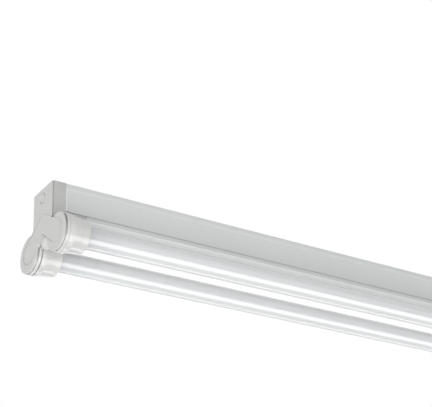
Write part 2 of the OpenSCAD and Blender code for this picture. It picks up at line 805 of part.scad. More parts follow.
at_lamp(REAR) lamp_cathodes();  // lamp_rear_cathodes
at_lamp(REAR) lamp_rotors();  // lamp_rear_rotors
at_end(LEFT) at_lamp(FRONT) seal(FRONT);  // seal_left_front
at_end(LEFT) at_lamp(REAR) seal(REAR);  // seal_left_rear
at_end(RIGHT) at_lamp(FRONT) seal(FRONT);  // seal_right_front
at_end(RIGHT) at_lamp(REAR) seal(REAR);  // seal_right_rear
at_end(LEFT) at_lamp(FRONT) screw_ring(FRONT);  // ring_left_front
at_end(LEFT) at_lamp(REAR) screw_ring(REAR);  // ring_left_rear
at_end(RIGHT) at_lamp(FRONT) screw_ring(FRONT);  // ring_right_front
at_end(RIGHT) at_lamp(REAR) screw_ring(REAR);  // ring_right_rear
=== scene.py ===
# %% [markdown]
# # A moisture-proof batten for two tubular lamps
#
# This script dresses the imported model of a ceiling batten: a folded steel spine, two moulded end caps with
# Y-shaped arms, lampholders sealed by screw rings, and two tubes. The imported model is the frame. Its solids
# stay where they are, and each piece below either gives one of them a better finish or stands in its place
# with the folds, grips and rounded edges that a real one has.

# %% Load the frame
import math

import bpy
from mathutils import Matrix, Vector


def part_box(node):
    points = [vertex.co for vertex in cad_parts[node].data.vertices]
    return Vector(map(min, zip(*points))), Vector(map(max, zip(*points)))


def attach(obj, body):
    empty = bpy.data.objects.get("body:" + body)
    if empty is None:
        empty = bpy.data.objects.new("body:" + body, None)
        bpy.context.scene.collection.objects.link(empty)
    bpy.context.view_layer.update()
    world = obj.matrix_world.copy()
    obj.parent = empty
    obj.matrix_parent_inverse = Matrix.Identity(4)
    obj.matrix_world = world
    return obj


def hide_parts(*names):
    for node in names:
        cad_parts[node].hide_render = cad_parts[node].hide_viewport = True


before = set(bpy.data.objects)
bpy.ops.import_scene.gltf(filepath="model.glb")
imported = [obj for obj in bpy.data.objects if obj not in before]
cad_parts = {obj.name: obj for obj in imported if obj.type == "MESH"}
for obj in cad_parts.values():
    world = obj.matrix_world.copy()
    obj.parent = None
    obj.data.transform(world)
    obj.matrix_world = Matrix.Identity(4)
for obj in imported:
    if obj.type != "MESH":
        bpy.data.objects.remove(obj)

MM = 0.001
SCENE = bpy.context.scene
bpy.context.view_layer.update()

# %% [markdown]
# ## Sizes that several pieces share
#
# The fixture is measured from its end faces, because both ends are alike. Depths are in millimetres from an
# end face, and heights in millimetres from the ceiling face, where up is positive.

# %% Read the main sizes from the frame
spine_low, spine_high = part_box("spine_channel")
ring_low, ring_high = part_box("ring_left_front")
tray_low, tray_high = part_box("gear_tray")

HOLDER_DEPTH, CAP_DEPTH, SCREW_DEPTH = 3.0, 17.5, 100
LIP_TOP, TRAY_BEVEL = -33.0, 4.2

LAMP_Y = -(ring_low.y + ring_high.y) / 2
LAMP_Z = (ring_low.z + ring_high.z) / 2
END_X = -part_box("holder_left_front")[0].x + HOLDER_DEPTH * MM
print("lamp axes at y = +-%.1f mm, z = %.1f mm, end faces at x = +-%.1f mm"
      % (LAMP_Y / MM, LAMP_Z / MM, END_X / MM))

# %% [markdown]
# ## The camera
#
# The photograph looks up at the fixture from below and from the left. The place, turn and lens were found by
# fitting the edges of the box, the tubes and the round end discs, so the camera is written as a place and
# three angles. A camera looks along its own -Z, so its matrix is built from the right, up and backward
# directions.

# %% Set the camera
VIEW_TURN = math.radians(55.32859)
VIEW_LIFT = math.radians(27.48994)
VIEW_ROLL = math.radians(-2.86101)
VIEW_LENS = 99.9155
VIEW_FROM = Vector((-531.37 * MM - END_X, -1118.44 * MM, -666.74 * MM))


def add_camera():
    forward = Vector((math.cos(VIEW_TURN) * math.cos(VIEW_LIFT),
                      math.sin(VIEW_TURN) * math.cos(VIEW_LIFT), math.sin(VIEW_LIFT)))
    level = forward.cross(Vector((0, 0, 1))).normalized()
    upright = level.cross(forward)
    right = math.cos(VIEW_ROLL) * level + math.sin(VIEW_ROLL) * upright
    up = math.cos(VIEW_ROLL) * upright - math.sin(VIEW_ROLL) * level
    lens = bpy.data.cameras.new("camera")
    lens.lens = VIEW_LENS
    lens.sensor_width = 36.0
    lens.clip_start = 0.01
    lens.clip_end = 50.0
    camera = bpy.data.objects.new("camera", lens)
    SCENE.collection.objects.link(camera)
    turn = Matrix((right, up, -forward)).transposed().to_4x4()
    camera.matrix_world = Matrix.Translation(VIEW_FROM) @ turn
    SCENE.camera = camera
    return camera


camera = add_camera()
print("camera at", [round(v, 3) for v in camera.location])

# %% [markdown]
# ## Light, backdrop and floor
#
# The tubes and rings are told apart only by what they mirror, so the light matters as much as the shapes. A
# faint surround gives even light, and it shows as pure white to the camera and in reflections. Soft panels
# below, in front, at both ends, behind and above light the faces. Two long strips below only show in what is
# mirrored: the broad one gives the pale band along each tube, and the narrow one the bright line near its
# underside. The panels below and in front are kept out of the reflections, and the other four do both.

# %% Steps for wiring shader nodes
def feed(node, inputs):
    """Set a node's inputs, by name or number, each to a value or to another node's output."""
    for key, value in inputs.items():
        if isinstance(value, bpy.types.NodeSocket):
            node.id_data.links.new(value, node.inputs[key])
        else:
            node.inputs[key].default_value = value
    return node


def add_node(part, kind, inputs=None):
    """Add a node to a node tree, given as the tree itself or as any node or output in it."""
    return feed(part.id_data.nodes.new("ShaderNode" + kind), inputs or {})


# %% Add the surround
SCENE.view_settings.view_transform = "Standard"
DAYLIGHT = 0.30


def add_surround():
    world = bpy.data.worlds.new("surround")
    world.use_nodes = True
    SCENE.world = world
    tree = world.node_tree
    tree.nodes.clear()
    path = add_node(tree, "LightPath")
    seen = path.outputs["Is Camera Ray"]
    for ray in ("Is Glossy Ray", "Is Transmission Ray"):
        either = add_node(tree, "Math", {0: seen, 1: path.outputs[ray]})
        either.operation = "MAXIMUM"
        seen = either.outputs[0]
    soft = add_node(tree, "Background", {"Color": (0.98, 0.99, 1.0, 1), "Strength": DAYLIGHT})
    white = add_node(tree, "Background", {"Color": (1, 1, 1, 1), "Strength": 1.0})
    mix = add_node(tree, "MixShader", {"Fac": seen, 1: soft.outputs[0], 2: white.outputs[0]})
    add_node(tree, "OutputWorld", {"Surface": mix.outputs[0]})


add_surround()

# %% Add the soft panels
def add_panel(name, place, aim, length, width, level, work="both"):
    """A soft panel: it may light the surfaces, only show in what they mirror, or both."""
    light = bpy.data.lights.new(name, "AREA")
    light.shape = "RECTANGLE"
    light.size, light.size_y = length, width
    light.energy = level * math.pi * length * width
    panel = bpy.data.objects.new(name, light)
    SCENE.collection.objects.link(panel)
    back = (Vector(place) - Vector(aim)).normalized()
    side = Vector((1, 0, 0)) if abs(back.x) < 0.9 else Vector((0, 1, 0))
    up = back.cross(side).normalized()
    side = up.cross(back).normalized()
    panel.matrix_world = Matrix.Translation(place) @ Matrix((side, up, back)).transposed().to_4x4()
    panel.visible_camera = False
    panel.visible_diffuse = work != "mirrored"
    panel.visible_glossy = work != "lighting"


def below(direction_y, direction_z, reach):
    """A point that far from the lamps, in that direction across the fixture."""
    size = math.hypot(direction_y, direction_z)
    return (0.3, direction_y / size * reach, LAMP_Z + direction_z / size * reach)


middle = (0.3, 0.0, LAMP_Z)
add_panel("panel_band", below(-0.443, -0.896, 1.05), middle, 4.6, 0.56, 1.35, "lighting")
add_panel("panel_line", below(0.806, -0.592, 1.2), middle, 4.6, 0.40, 1.4, "lighting")
add_panel("strip_band", below(-0.656, -0.755, 1.2), middle, 4.6, 0.90, 2.3, "mirrored")
add_panel("strip_line", below(0.66, -0.75, 1.2), middle, 4.6, 0.26, 2.5, "mirrored")
add_panel("panel_front", (-0.5, -1.6, -0.80), (0.1, 0, -0.05), 5.2, 1.4, 1.05, "lighting")
add_panel("panel_end", (-3.0, -0.8, -0.1), (-0.6, 0, -0.05), 2.4, 2.4, 1.78)
add_panel("panel_back", (0.3, 1.9, -0.25), (0.1, 0, -0.05), 4.6, 1.2, 0.35)
add_panel("panel_right", (3.0, 0.6, -0.2), (0.6, 0, -0.05), 2.2, 2.2, 0.9)
add_panel("panel_top", (0.0, -0.6, 2.2), (0, 0, 0), 4.0, 2.4, 0.15)

# %% [markdown]
# The fixture hangs from a ceiling and is mostly seen from below, so the floor must not hide it. The floor is
# a plain pale sheet that is clear from its underside. What the camera sees of it is lifted towards white by
# its material, so that no lamp has to be made brighter for it, and it still keeps the soft shadows.

# %% Add the floor
FLOOR_SIZE, FLOOR_Z, FLOOR_LIFT = 40, -1.6, 0.7


def floor_finish():
    material = bpy.data.materials.new("floor_pale")
    material.use_nodes = True
    tree = material.node_tree
    shader = tree.nodes["Principled BSDF"]
    feed(shader, {"Base Color": (0.86, 0.86, 0.855, 1), "Roughness": 0.8})
    lift = add_node(tree, "Emission", {"Color": (0.90, 0.90, 0.895, 1)})
    share = add_node(tree, "Math", {0: add_node(tree, "LightPath").outputs["Is Camera Ray"], 1: FLOOR_LIFT})
    share.operation = "MULTIPLY"
    lifted = add_node(tree, "MixShader", {"Fac": share.outputs[0], 1: shader.outputs[0], 2: lift.outputs[0]})
    underside = add_node(tree, "NewGeometry").outputs["Backfacing"]
    clear = add_node(tree, "BsdfTransparent")
    sided = add_node(tree, "MixShader", {"Fac": underside, 1: lifted.outputs[0], 2: clear.outputs[0]})
    feed(tree.nodes["Material Output"], {"Surface": sided.outputs[0]})
    return material


def add_floor():
    bpy.ops.object.select_all(action="DESELECT")
    bpy.ops.mesh.primitive_plane_add(size=FLOOR_SIZE, location=(0, 0, FLOOR_Z))
    floor = bpy.context.object
    floor.name = "floor"
    floor.data.materials.append(floor_finish())


add_floor()

# %% [markdown]
# ## Tools for shaping by hand
#
# Edit mode tools act on whatever is selected, so each step first says which points, edges or faces it means,
# by where their middles are. `pick` does that. A finished piece is settled: its object goes back to the
# origin with its place kept in its mesh, as the frame's own solids have it.

# %% Select and settle
LEFT, RIGHT = -1, 1
FRONT, REAR = -1, 1
ENDS = ((LEFT, "left"), (RIGHT, "right"))
ROWS = ((FRONT, "front"), (REAR, "rear"))
FRONT_AXIS = Vector((0, -LAMP_Y, LAMP_Z))
TO_REAR = (0, 2 * LAMP_Y, 0)


def at_end(end, depth):
    """The x of a depth in millimetres from the end face at that end."""
    return end * (END_X - depth * MM)


def around(point):
    """How far a point is from the front lamp's axis, and where it is round it, in turns."""
    y, z = point.y - FRONT_AXIS.y, point.z - FRONT_AXIS.z
    return math.hypot(y, z), math.atan2(z, y) / math.tau


def near(value, goal):
    """True where two lengths in metres are the same, but for a twentieth of a millimetre."""
    return abs(value - goal) < 0.05 * MM


def mode(kind):
    """Change to edit mode or object mode."""
    bpy.ops.object.mode_set(mode=kind)


def alone(piece):
    """Select one piece and nothing else."""
    if bpy.context.mode != "OBJECT":
        mode("OBJECT")
    bpy.ops.object.select_all(action="DESELECT")
    piece.select_set(True)
    bpy.context.view_layer.objects.active = piece
    return piece


def named(name):
    """Name the object that was just made, and its mesh."""
    piece = bpy.context.object
    piece.name = piece.data.name = name
    return piece


def pick(kind, test):
    """In edit mode, select only the points, edges or faces whose middle passes the test."""
    bpy.ops.mesh.select_mode(type=kind)
    bpy.ops.mesh.select_all(action="DESELECT")
    mode("OBJECT")
    mesh, home = bpy.context.object.data, bpy.context.object.location
    points = mesh.vertices
    if kind == "FACE":
        middles = [(face, face.center) for face in mesh.polygons]
    elif kind == "EDGE":
        ends = [(edge, *(points[i].co for i in edge.vertices)) for edge in mesh.edges]
        middles = [(edge, (a + b) / 2) for edge, a, b in ends]
    else:
        middles = [(point, point.co) for point in points]
    for item, middle in middles:
        item.select = bool(test(middle + home))
    mode("EDIT")


def face_outwards(merge=0.0, fill=False):
    """Merge points closer than that many mm, fill holes if asked, turn faces outwards, leave edit mode."""
    bpy.ops.mesh.select_all(action="SELECT")
    if merge:
        bpy.ops.mesh.remove_doubles(threshold=merge * MM)
    if fill:
        bpy.ops.mesh.fill_holes(sides=0)
    bpy.ops.mesh.normals_make_consistent(inside=False)
    mode("OBJECT")


def settle(piece, angle=30):
    """Put the object at the origin with its place in its mesh, and shade its round faces smooth."""
    alone(piece)
    bpy.ops.object.transform_apply(location=True, rotation=True, scale=True)
    bpy.ops.object.shade_smooth_by_angle(angle=math.radians(angle))
    return piece


# %% Modifiers, applied at once
def apply_modifier(piece, kind, **settings):
    """Add a modifier with these settings and apply it."""
    alone(piece)
    bpy.ops.object.modifier_add(type=kind)
    modifier = piece.modifiers[-1]
    for key, value in settings.items():
        setattr(modifier, key, value)
    bpy.ops.object.modifier_apply(modifier=modifier.name)
    return piece


def join_or_cut(piece, tool, operation="DIFFERENCE"):
    """Cut a tool's shape out of a piece, or join it on, and put the tool away."""
    apply_modifier(piece, "BOOLEAN", operation=operation, object=tool, solver="EXACT")
    bpy.data.objects.remove(tool)
    return alone(piece)


def soften_edges(piece, width, segments=2, angle=30):
    """Round the edges of a piece, as a mould or a press leaves them."""
    return apply_modifier(piece, "BEVEL", width=width * MM, segments=segments, limit_method="ANGLE",
                          angle_limit=math.radians(angle), use_clamp_overlap=True)


def solid_block(name, low, high):
    """A block between two corners in metres, as a start or as a cutter."""
    low, high = Vector(low), Vector(high)
    bpy.ops.object.select_all(action="DESELECT")
    bpy.ops.mesh.primitive_cube_add(size=1, location=(low + high) / 2)
    piece = named(name)
    piece.scale = high - low
    bpy.ops.object.transform_apply(location=False, rotation=False, scale=True)
    return piece


def solid_round(name, middle, radius, length, axis="X", sides=64):
    """A cylinder along X or Z, as a start or as a cutter."""
    bpy.ops.object.select_all(action="DESELECT")
    turn = (0, math.pi / 2 if axis == "X" else 0, 0)
    bpy.ops.mesh.primitive_cylinder_add(vertices=sides, radius=radius * MM, depth=length * MM,
                                        location=middle, rotation=turn)
    return named(name)


# %% [markdown]
# Most of the small pieces are turned: rings, seals, holders, tubes. A lathe needs only half an outline, so
# the outline is drawn point by point as a chain of edges and spun once round the piece's axis. Corners are
# rounded in the outline, where it costs a few points, and not on the finished ring. A flat piece starts from
# such a chain too, which is filled and pulled out between two depths.

# %% Draw an outline, then turn it or pull it out
def softened(outline, size, parts=2, closed=True):
    """Round each corner of an outline of (depth, radius) with a few short steps."""
    made = []
    for i, here in enumerate(outline):
        here = Vector(here)
        back, on = Vector(outline[i - 1]) - here, Vector(outline[(i + 1) % len(outline)]) - here
        loose = not closed and i in (0, len(outline) - 1)
        if loose or abs(back.normalized().cross(on.normalized())) < 0.2:
            made.append(here)
            continue
        cut = min(size, back.length * 0.45, on.length * 0.45)
        start, stop = here + back.normalized() * cut, here + on.normalized() * cut
        for k in range(parts + 1):
            t = k / parts
            made.append(start.lerp(here, t).lerp(here.lerp(stop, t), t))
    return made


def chain(name, points):
    """Start a piece as a chain of edges through these points, all selected in edit mode."""
    bpy.ops.object.select_all(action="DESELECT")
    bpy.ops.mesh.primitive_plane_add(size=MM, location=points[0])
    piece = named(name)
    mode("EDIT")
    bpy.ops.mesh.select_mode(type="VERT")
    bpy.ops.mesh.merge(type="CENTER")
    for a, b in zip(points, points[1:]):
        bpy.ops.mesh.extrude_vertices_move(TRANSFORM_OT_translate={"value": b - a})
    bpy.ops.mesh.select_all(action="SELECT")
    return piece


def turned(name, outline, middle, end=LEFT, steps=96, axis="X", closed=True):
    """Spin an outline of (depth, radius) in mm round a line along X, or (height, radius) along Z."""
    if axis == "X":
        points = [Vector((at_end(end, d), middle.y, middle.z + r * MM)) for d, r in outline]
    else:
        points = [Vector((middle.x + r * MM, middle.y, h * MM)) for h, r in outline]
    if closed:
        points.append(points[0])
    piece = chain(name, points)
    along = (1, 0, 0) if axis == "X" else (0, 0, 1)
    bpy.ops.mesh.spin(steps=steps, angle=math.tau, center=middle, axis=along)
    face_outwards(merge=0.002)
    return piece


def drawn(name, outline, start, stop):
    """Draw an outline of (y, z) in mm, fill it, and pull it out between two depths at the left end."""
    x = at_end(LEFT, start)
    piece = chain(name, [Vector((x, y * MM, z * MM)) for y, z in outline])
    bpy.ops.mesh.edge_face_add()
    bpy.ops.mesh.extrude_region_move(TRANSFORM_OT_translate={"value": (at_end(LEFT, stop) - x, 0, 0)})
    face_outwards()
    return piece


# %% [markdown]
# Both ends and both rows are alike, so a piece is made once and copied. A copy for the far end is mirrored,
# which turns its faces inside out, so they are turned back.

# %% Copy, join and show pieces
def copy_of(piece, name, move=(0, 0, 0), mirror=False):
    alone(piece)
    bpy.ops.object.duplicate(linked=False)
    made = named(name)
    if mirror:
        made.scale = (-1, 1, 1)
        bpy.ops.object.transform_apply(location=False, rotation=False, scale=True)
    made.location = move
    bpy.ops.object.transform_apply(location=True, rotation=False, scale=False)
    if mirror:
        mode("EDIT")
        face_outwards()
    return made


def joined(parts):
    """Join several pieces into the first of them."""
    alone(parts[0])
    for part in parts[1:]:
        part.select_set(True)
    bpy.ops.object.join()
    return settle(parts[0])


def show(piece, finish, body, slot, *nodes):
    """Give a piece its finish, let it ride on its body, and let it stand for its solids."""
    piece.data.materials.clear()
    piece.data.materials.append(finish)
    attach(piece, body)
    if nodes:
        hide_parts(*nodes)


def count_faces(what, piece):
    print(what + ":", len(piece.data.polygons), "faces")

# %% [markdown]
# ## Finishes
#
# The finishes are built from the same few steps: a colour that drifts a little from place to place, a fine
# grain that the bump follows and, on all but the circuit board, a roughness that is not quite even. All of it
# is read from Object coordinates, so a grain of half a millimetre is half a millimetre on every piece.

# %% Steps that every finish shares
def new_finish(name, roughness, metallic=0.0, ior=1.5):
    material = bpy.data.materials.new(name)
    material.use_nodes = True
    shader = material.node_tree.nodes["Principled BSDF"]
    feed(shader, {"Metallic": metallic, "Roughness": roughness, "IOR": ior})
    return material, shader, add_node(shader, "TexCoord").outputs["Object"]


def scaled(place, scale):
    """Coordinates that run faster or slower along each direction."""
    return add_node(place, "Mapping", {"Vector": place, "Scale": scale}).outputs[0]


def blotches(place, size, detail=2.0, stretch=(1, 1, 1)):
    """Noise with blotches about that many millimetres across."""
    spot = scaled(place, [s / (size * MM) for s in stretch])
    return add_node(place, "TexNoise", {"Vector": spot, "Scale": 1.0, "Detail": detail}).outputs["Fac"]


def between(value, low, high, start=0.3, stop=0.7):
    """Stretch a value from its usual range to the range that is wanted."""
    return add_node(value, "MapRange", {"Value": value, "From Min": start, "From Max": stop,
                                        "To Min": low, "To Max": high}).outputs["Result"]


def mixed(amount, colour_a, colour_b):
    """A colour between two, each given as numbers or as another node's output."""
    node = add_node(amount, "Mix")
    node.data_type = "RGBA"
    a, b = [c if isinstance(c, bpy.types.NodeSocket) else (*c, 1) for c in (colour_a, colour_b)]
    return feed(node, {"Factor": amount, 6: a, 7: b}).outputs[2]


def bumped(shader, height, depth, under=None):
    """Let a height of that many millimetres bend the light, on top of an earlier bump if there is one."""
    node = add_node(height, "Bump", {"Height": height, "Distance": depth * MM, "Strength": 1.0})
    if under is not None:
        feed(node, {"Normal": under})
    feed(shader, {"Normal": node.outputs["Normal"]})
    return node.outputs["Normal"]


def shaded(colour, factor):
    return tuple(min(1.0, c * factor) for c in colour)


def uneven(value, roughness, less, more):
    """A roughness that wanders with a texture."""
    return between(value, roughness - less, roughness + more)


# %% [markdown]
# Moulded plastic drifts in colour over centimetres, where the melt flowed, and has a very fine eroded grain
# from the mould. Powder coat looks alike from afar but has an orange peel: low swells a millimetre or two
# across.

# %% Moulded plastic and powder coat
def moulded(name, colour, roughness, grain=0.35, depth=0.012, drift=0.02, ior=1.5, polish=0.0):
    material, shader, place = new_finish(name, roughness, ior=ior)
    flow = blotches(place, 38, detail=3)
    fleck = blotches(place, 1.6, detail=4)
    base = mixed(between(flow, 0, 1), shaded(colour, 1 - drift), shaded(colour, 1 + drift))
    base = mixed(between(fleck, 0, 0.5, 0.45, 0.75), base, shaded(colour, 1 - 1.5 * drift))
    feed(shader, {"Base Color": base, "Roughness": uneven(flow, roughness, 0.04, 0.05),
                        "Coat Weight": polish, "Coat Roughness": 0.09, "Coat IOR": 1.65})
    bumped(shader, blotches(place, grain, detail=3), depth)
    return material


def powder_coat(name, colour, roughness=0.42, gloss=0.0, lip_tone_and_shade=None, lip_from=0.0):
    """Paint with an orange peel. A folded lip above that height may be painted darker, partly a second
    paint tone and partly painted shade from under the spine's edge.
    """
    material, shader, place = new_finish(name, roughness)
    drifts = blotches(place, 120, detail=3)
    specks = blotches(place, 0.8, detail=3)
    base = mixed(between(drifts, 0, 1), shaded(colour, 0.988), shaded(colour, 1.012))
    base = mixed(between(specks, 0, 0.6, 0.55, 0.85), base, shaded(colour, 0.95))
    # painted shade: the lip above that height is made darker, partly a second paint tone, partly the shade
    # under the spine
    if lip_tone_and_shade:
        height = add_node(place, "SeparateXYZ", {0: place}).outputs["Z"]
        lip = between(height, 0, 1, lip_from - 0.3 * MM, lip_from + 0.3 * MM)
        base = mixed(lip, base, lip_tone_and_shade)
    feed(shader, {"Base Color": base, "Roughness": uneven(drifts, roughness, 0.03, 0.04),
                        "Coat Weight": gloss, "Coat Roughness": 0.22, "Coat IOR": 1.55})
    swell = bumped(shader, blotches(place, 1.9, detail=1), 0.02)
    bumped(shader, specks, 0.006, under=swell)
    return material


PALE = (0.620, 0.617, 0.607)
cap_plastic = moulded("plastic_cap_grey", (0.562, 0.560, 0.549), 0.46, grain=0.5, depth=0.015)
ring_plastic = moulded("plastic_ring_pale", PALE, 0.34, grain=0.4, depth=0.004, ior=1.55, polish=0.8)
holder_plastic = moulded("plastic_holder_white", PALE, 0.38, grain=0.4, depth=0.006, polish=0.6)
# the joint seals' pale colour is partly a painted highlight along the edge of each cap
seal_white = moulded("plastic_seal_white", (0.88, 0.885, 0.88), 0.45, grain=0.5, depth=0.01)
plug_plastic = moulded("plastic_plug_grey", (0.57, 0.57, 0.56), 0.40, grain=0.4, depth=0.01)
clip_plastic = moulded("plastic_clip_natural", (0.74, 0.73, 0.70), 0.36, grain=0.6, depth=0.01, drift=0.03)
spine_paint = powder_coat("paint_spine_grey", (0.672, 0.686, 0.686))
# the lip's grey is partly painted shade from under the spine's edge
tray_paint = powder_coat("paint_tray_white", (0.95, 0.955, 0.95), roughness=0.36, gloss=1.0,
                         lip_tone_and_shade=(0.66, 0.672, 0.67), lip_from=-41.0 * MM)
print("plastics and paints:", len(bpy.data.materials) - 1)

# %% [markdown]
# A lamp tube is clear glass with white powder on its inside. From outside that is a matt white body under a
# smooth clear coat, so the coat carries the sharp reflections and the body the soft shading. Towards each cap
# the glass is painted darker: partly the real greying near the cathodes, partly painted shade from the screw
# ring.

# %% The lamp glass
# where the painted darkening of each end starts and where it is full, in mm from the end face
GREYING_AND_SHADE_START, GREYING_AND_SHADE_FULL = 95, 42


def lamp_glass():
    material, shader, place = new_finish("glass_lamp_opal", 0.30, ior=1.6)
    reach = add_node(place, "Math", {0: add_node(place, "SeparateXYZ", {0: place}).outputs["X"]})
    reach.operation = "ABSOLUTE"
    # painted shade: towards each end the glass darkens, partly real greying near the cathodes, partly the
    # screw ring's shade
    greying_and_shade = between(reach.outputs[0], 0.0, 1.0, END_X - GREYING_AND_SHADE_START * MM, END_X - GREYING_AND_SHADE_FULL * MM)
    powder = blotches(place, 4.5, detail=3)
    base = mixed(between(powder, 0, 1, 0.35, 0.65), (0.658, 0.668, 0.675), (0.670, 0.680, 0.687))
    feed(shader, {"Base Color": mixed(greying_and_shade, base, (0.575, 0.59, 0.60)),
                        "Roughness": between(powder, 0.28, 0.32),
                        "Coat Weight": 1.0, "Coat Roughness": 0.015, "Coat IOR": 1.65})
    bumped(shader, blotches(place, 14, detail=0, stretch=(0.08, 1, 1)), 0.006)
    return material


tube_glass = lamp_glass()

# %% Metals
def brushed(name, colour, roughness, along):
    """Metal with fine scratches drawn out along one direction."""
    material, shader, place = new_finish(name, roughness, metallic=1.0)
    scratch = blotches(place, 0.35, detail=4, stretch=(along, 1, 1))
    stain = blotches(place, 14, detail=3)
    base = mixed(between(stain, 0, 1), shaded(colour, 0.94), colour)
    base = mixed(between(scratch, 0, 0.35), base, shaded(colour, 0.88))
    feed(shader, {"Base Color": base, "Roughness": uneven(scratch, roughness, 0.1, 0.1)})
    bumped(shader, scratch, 0.006)
    return material


def plated(name, colour, roughness, spangle):
    """Zinc on steel: crystals a few millimetres across, each a little lighter or darker than the next."""
    material, shader, place = new_finish(name, roughness, metallic=1.0)
    spot = scaled(place, [1 / (spangle * MM)] * 3)
    crystals = add_node(place, "TexVoronoi", {"Vector": spot, "Scale": 1.0})
    grey = add_node(place, "RGBToBW", {0: crystals.outputs["Color"]}).outputs[0]
    feed(shader, {"Base Color": mixed(grey, shaded(colour, 0.86), colour),
                        "Roughness": between(grey, roughness - 0.07, roughness + 0.1, 0, 1)})
    bumped(shader, blotches(place, 0.5, detail=3), 0.006)
    return material


cap_alloy = brushed("metal_cap_alloy", (0.80, 0.80, 0.81), 0.32, along=0.08)
screw_zinc = plated("metal_screw_zinc", (0.72, 0.73, 0.74), 0.34, spangle=1.2)
sheet_zinc = plated("metal_sheet_zinc", (0.68, 0.69, 0.70), 0.42, spangle=3.5)
contact_brass = brushed("metal_contact_brass", (0.78, 0.62, 0.34), 0.30, along=0.15)
pin_nickel = brushed("metal_pin_nickel", (0.72, 0.68, 0.60), 0.26, along=0.1)


# %% Rubber, lead sheath, board and stem glass
def rubber(name, colour, roughness=0.62):
    """Rubber is dull, with a bloom that greys it in patches and a soft skin."""
    material, shader, place = new_finish(name, roughness)
    bloom = blotches(place, 6, detail=5)
    dusty = tuple(c * 0.8 + 0.16 for c in colour)
    feed(shader, {"Base Color": mixed(between(bloom, 0, 0.7, 0.4, 0.75), colour, dusty),
                        "Roughness": uneven(bloom, roughness, 0.08, 0.1),
                        "Sheen Weight": 0.15, "Sheen Roughness": 0.5})
    bumped(shader, blotches(place, 0.45, detail=2), 0.02)
    return material


def circuit_board():
    """Green lacquer over copper tracks that run along and across the board."""
    material, shader, place = new_finish("board_lacquer_green", 0.32)
    tracks = add_node(place, "TexBrick", {"Vector": scaled(place, (140, 420, 140)),
                                         "Color1": (0.03, 0.16, 0.07, 1), "Color2": (0.02, 0.11, 0.05, 1),
                                         "Mortar": (0.10, 0.30, 0.10, 1)})
    speck = between(blotches(place, 1.2, detail=3), 0, 0.4, 0.5, 0.8)
    feed(shader, {"Base Color": mixed(speck, tracks.outputs["Color"], (0.05, 0.2, 0.09))})
    bumped(shader, tracks.outputs["Fac"], 0.03)
    return material


def stem_glass():
    material, shader, place = new_finish("glass_stem_clear", 0.05)
    haze = blotches(place, 2.0, detail=3)
    feed(shader, {"Base Color": mixed(haze, (0.93, 0.95, 0.94), (0.86, 0.90, 0.89)),
                        "Roughness": between(haze, 0.03, 0.12), "Transmission Weight": 0.85})
    bumped(shader, haze, 0.02)
    return material


seal_rubber = rubber("rubber_seal_pale", (0.55, 0.55, 0.54))
gasket_rubber = rubber("rubber_gasket_grey", (0.42, 0.42, 0.42))
grommet_rubber = rubber("rubber_grommet_black", (0.035, 0.035, 0.036), roughness=0.55)
lead_sheath = moulded("plastic_lead_white", (0.72, 0.715, 0.70), 0.30, grain=0.8, depth=0.01)
board_green = circuit_board()
clear_stem = stem_glass()
print("finishes:", len(bpy.data.materials))

# %% [markdown]
# ## The spine
#
# The spine is one strip of steel folded into a long channel, open below. Its top edge keeps a narrow strip
# that stands out a little, so the side faces are set back from it. It could be cut from a block, but a folded
# sheet is easier to get right as a sheet: a flat plane is laid down, its long edges are drawn out fold by
# fold, the folds are rounded, and only then does the sheet get its thickness, inwards.

# %% Fold the spine
SHEET = 0.8
STRIP_HEIGHT, STRIP_STEP = 6.8, 0.3
FOLD_ROUND, STEP_ROUND = 0.9, 0.16


def draw_out(height):
    """Draw the selected edges out along Z by that many metres."""
    bpy.ops.mesh.extrude_edges_move(TRANSFORM_OT_translate={"value": (0, 0, height)})


def round_picked(size, segments):
    """Round the picked edges by that many millimetres."""
    bpy.ops.mesh.bevel(offset=size * MM, segments=segments, affect="EDGES")


def flat_sheet(name, half_length, half_width, height):
    """A flat plane at that height, left in edit mode for its edges to be drawn out."""
    bpy.ops.object.select_all(action="DESELECT")
    bpy.ops.mesh.primitive_plane_add(size=2, location=(0, 0, height))
    piece = named(name)
    bpy.ops.object.transform_apply(location=True)
    mode("EDIT")
    bpy.ops.transform.resize(value=(half_length, half_width, 1), center_override=(0, 0, height))
    return piece


def thickened(piece):
    """Give a folded sheet its thickness, inwards."""
    face_outwards()
    return apply_modifier(piece, "SOLIDIFY", thickness=SHEET * MM, offset=-1)


def folded_spine():
    edge = spine_high.y
    inner = edge - STRIP_STEP * MM
    piece = flat_sheet("spine", spine_high.x, edge, 0)
    pick("EDGE", lambda m: near(abs(m.y), edge))
    draw_out(-STRIP_HEIGHT * MM)
    draw_out(-STRIP_STEP * MM)
    bpy.ops.transform.resize(value=(1, inner / edge, 1), center_override=(0, 0, 0))
    draw_out(spine_low.z + (STRIP_HEIGHT + STRIP_STEP) * MM)
    pick("EDGE", lambda m: near(abs(m.y), edge) and near(m.z, 0))
    round_picked(FOLD_ROUND, 4)
    pick("EDGE", lambda m: abs(m.y) > inner - 0.1 * MM and -7.3 * MM < m.z < -6.6 * MM and near(m.x, 0))
    round_picked(STEP_ROUND, 2)
    return thickened(piece)


spine = folded_spine()
count_faces("spine folded", spine)

# %% [markdown]
# The top has two slots for the ceiling screws, a round hole for the cable grommet and two small holes at each
# end for the screws that hold the end caps. Each is cut with a tool of the hole's own shape. The slot tool is
# a block whose upright edges are rounded until its ends are half circles. A cut can leave two points almost
# in one place, which opens a seam, so such points are merged at the end.

# %% Cut the slots and holes
SLOT_X, SLOT_LENGTH, SLOT_WIDTH = 400, 12, 6
CAP_SCREW_DEPTH, CAP_SCREW_Y, CAP_SCREW_R = 21.5, 11.5, 3.0
GROMMET_R, THROUGH = 8.0, 6
SEAM_GAP = 0.02

grommet_low, grommet_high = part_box("cable_grommet")
grommet_x = (grommet_low.x + grommet_high.x) / 2


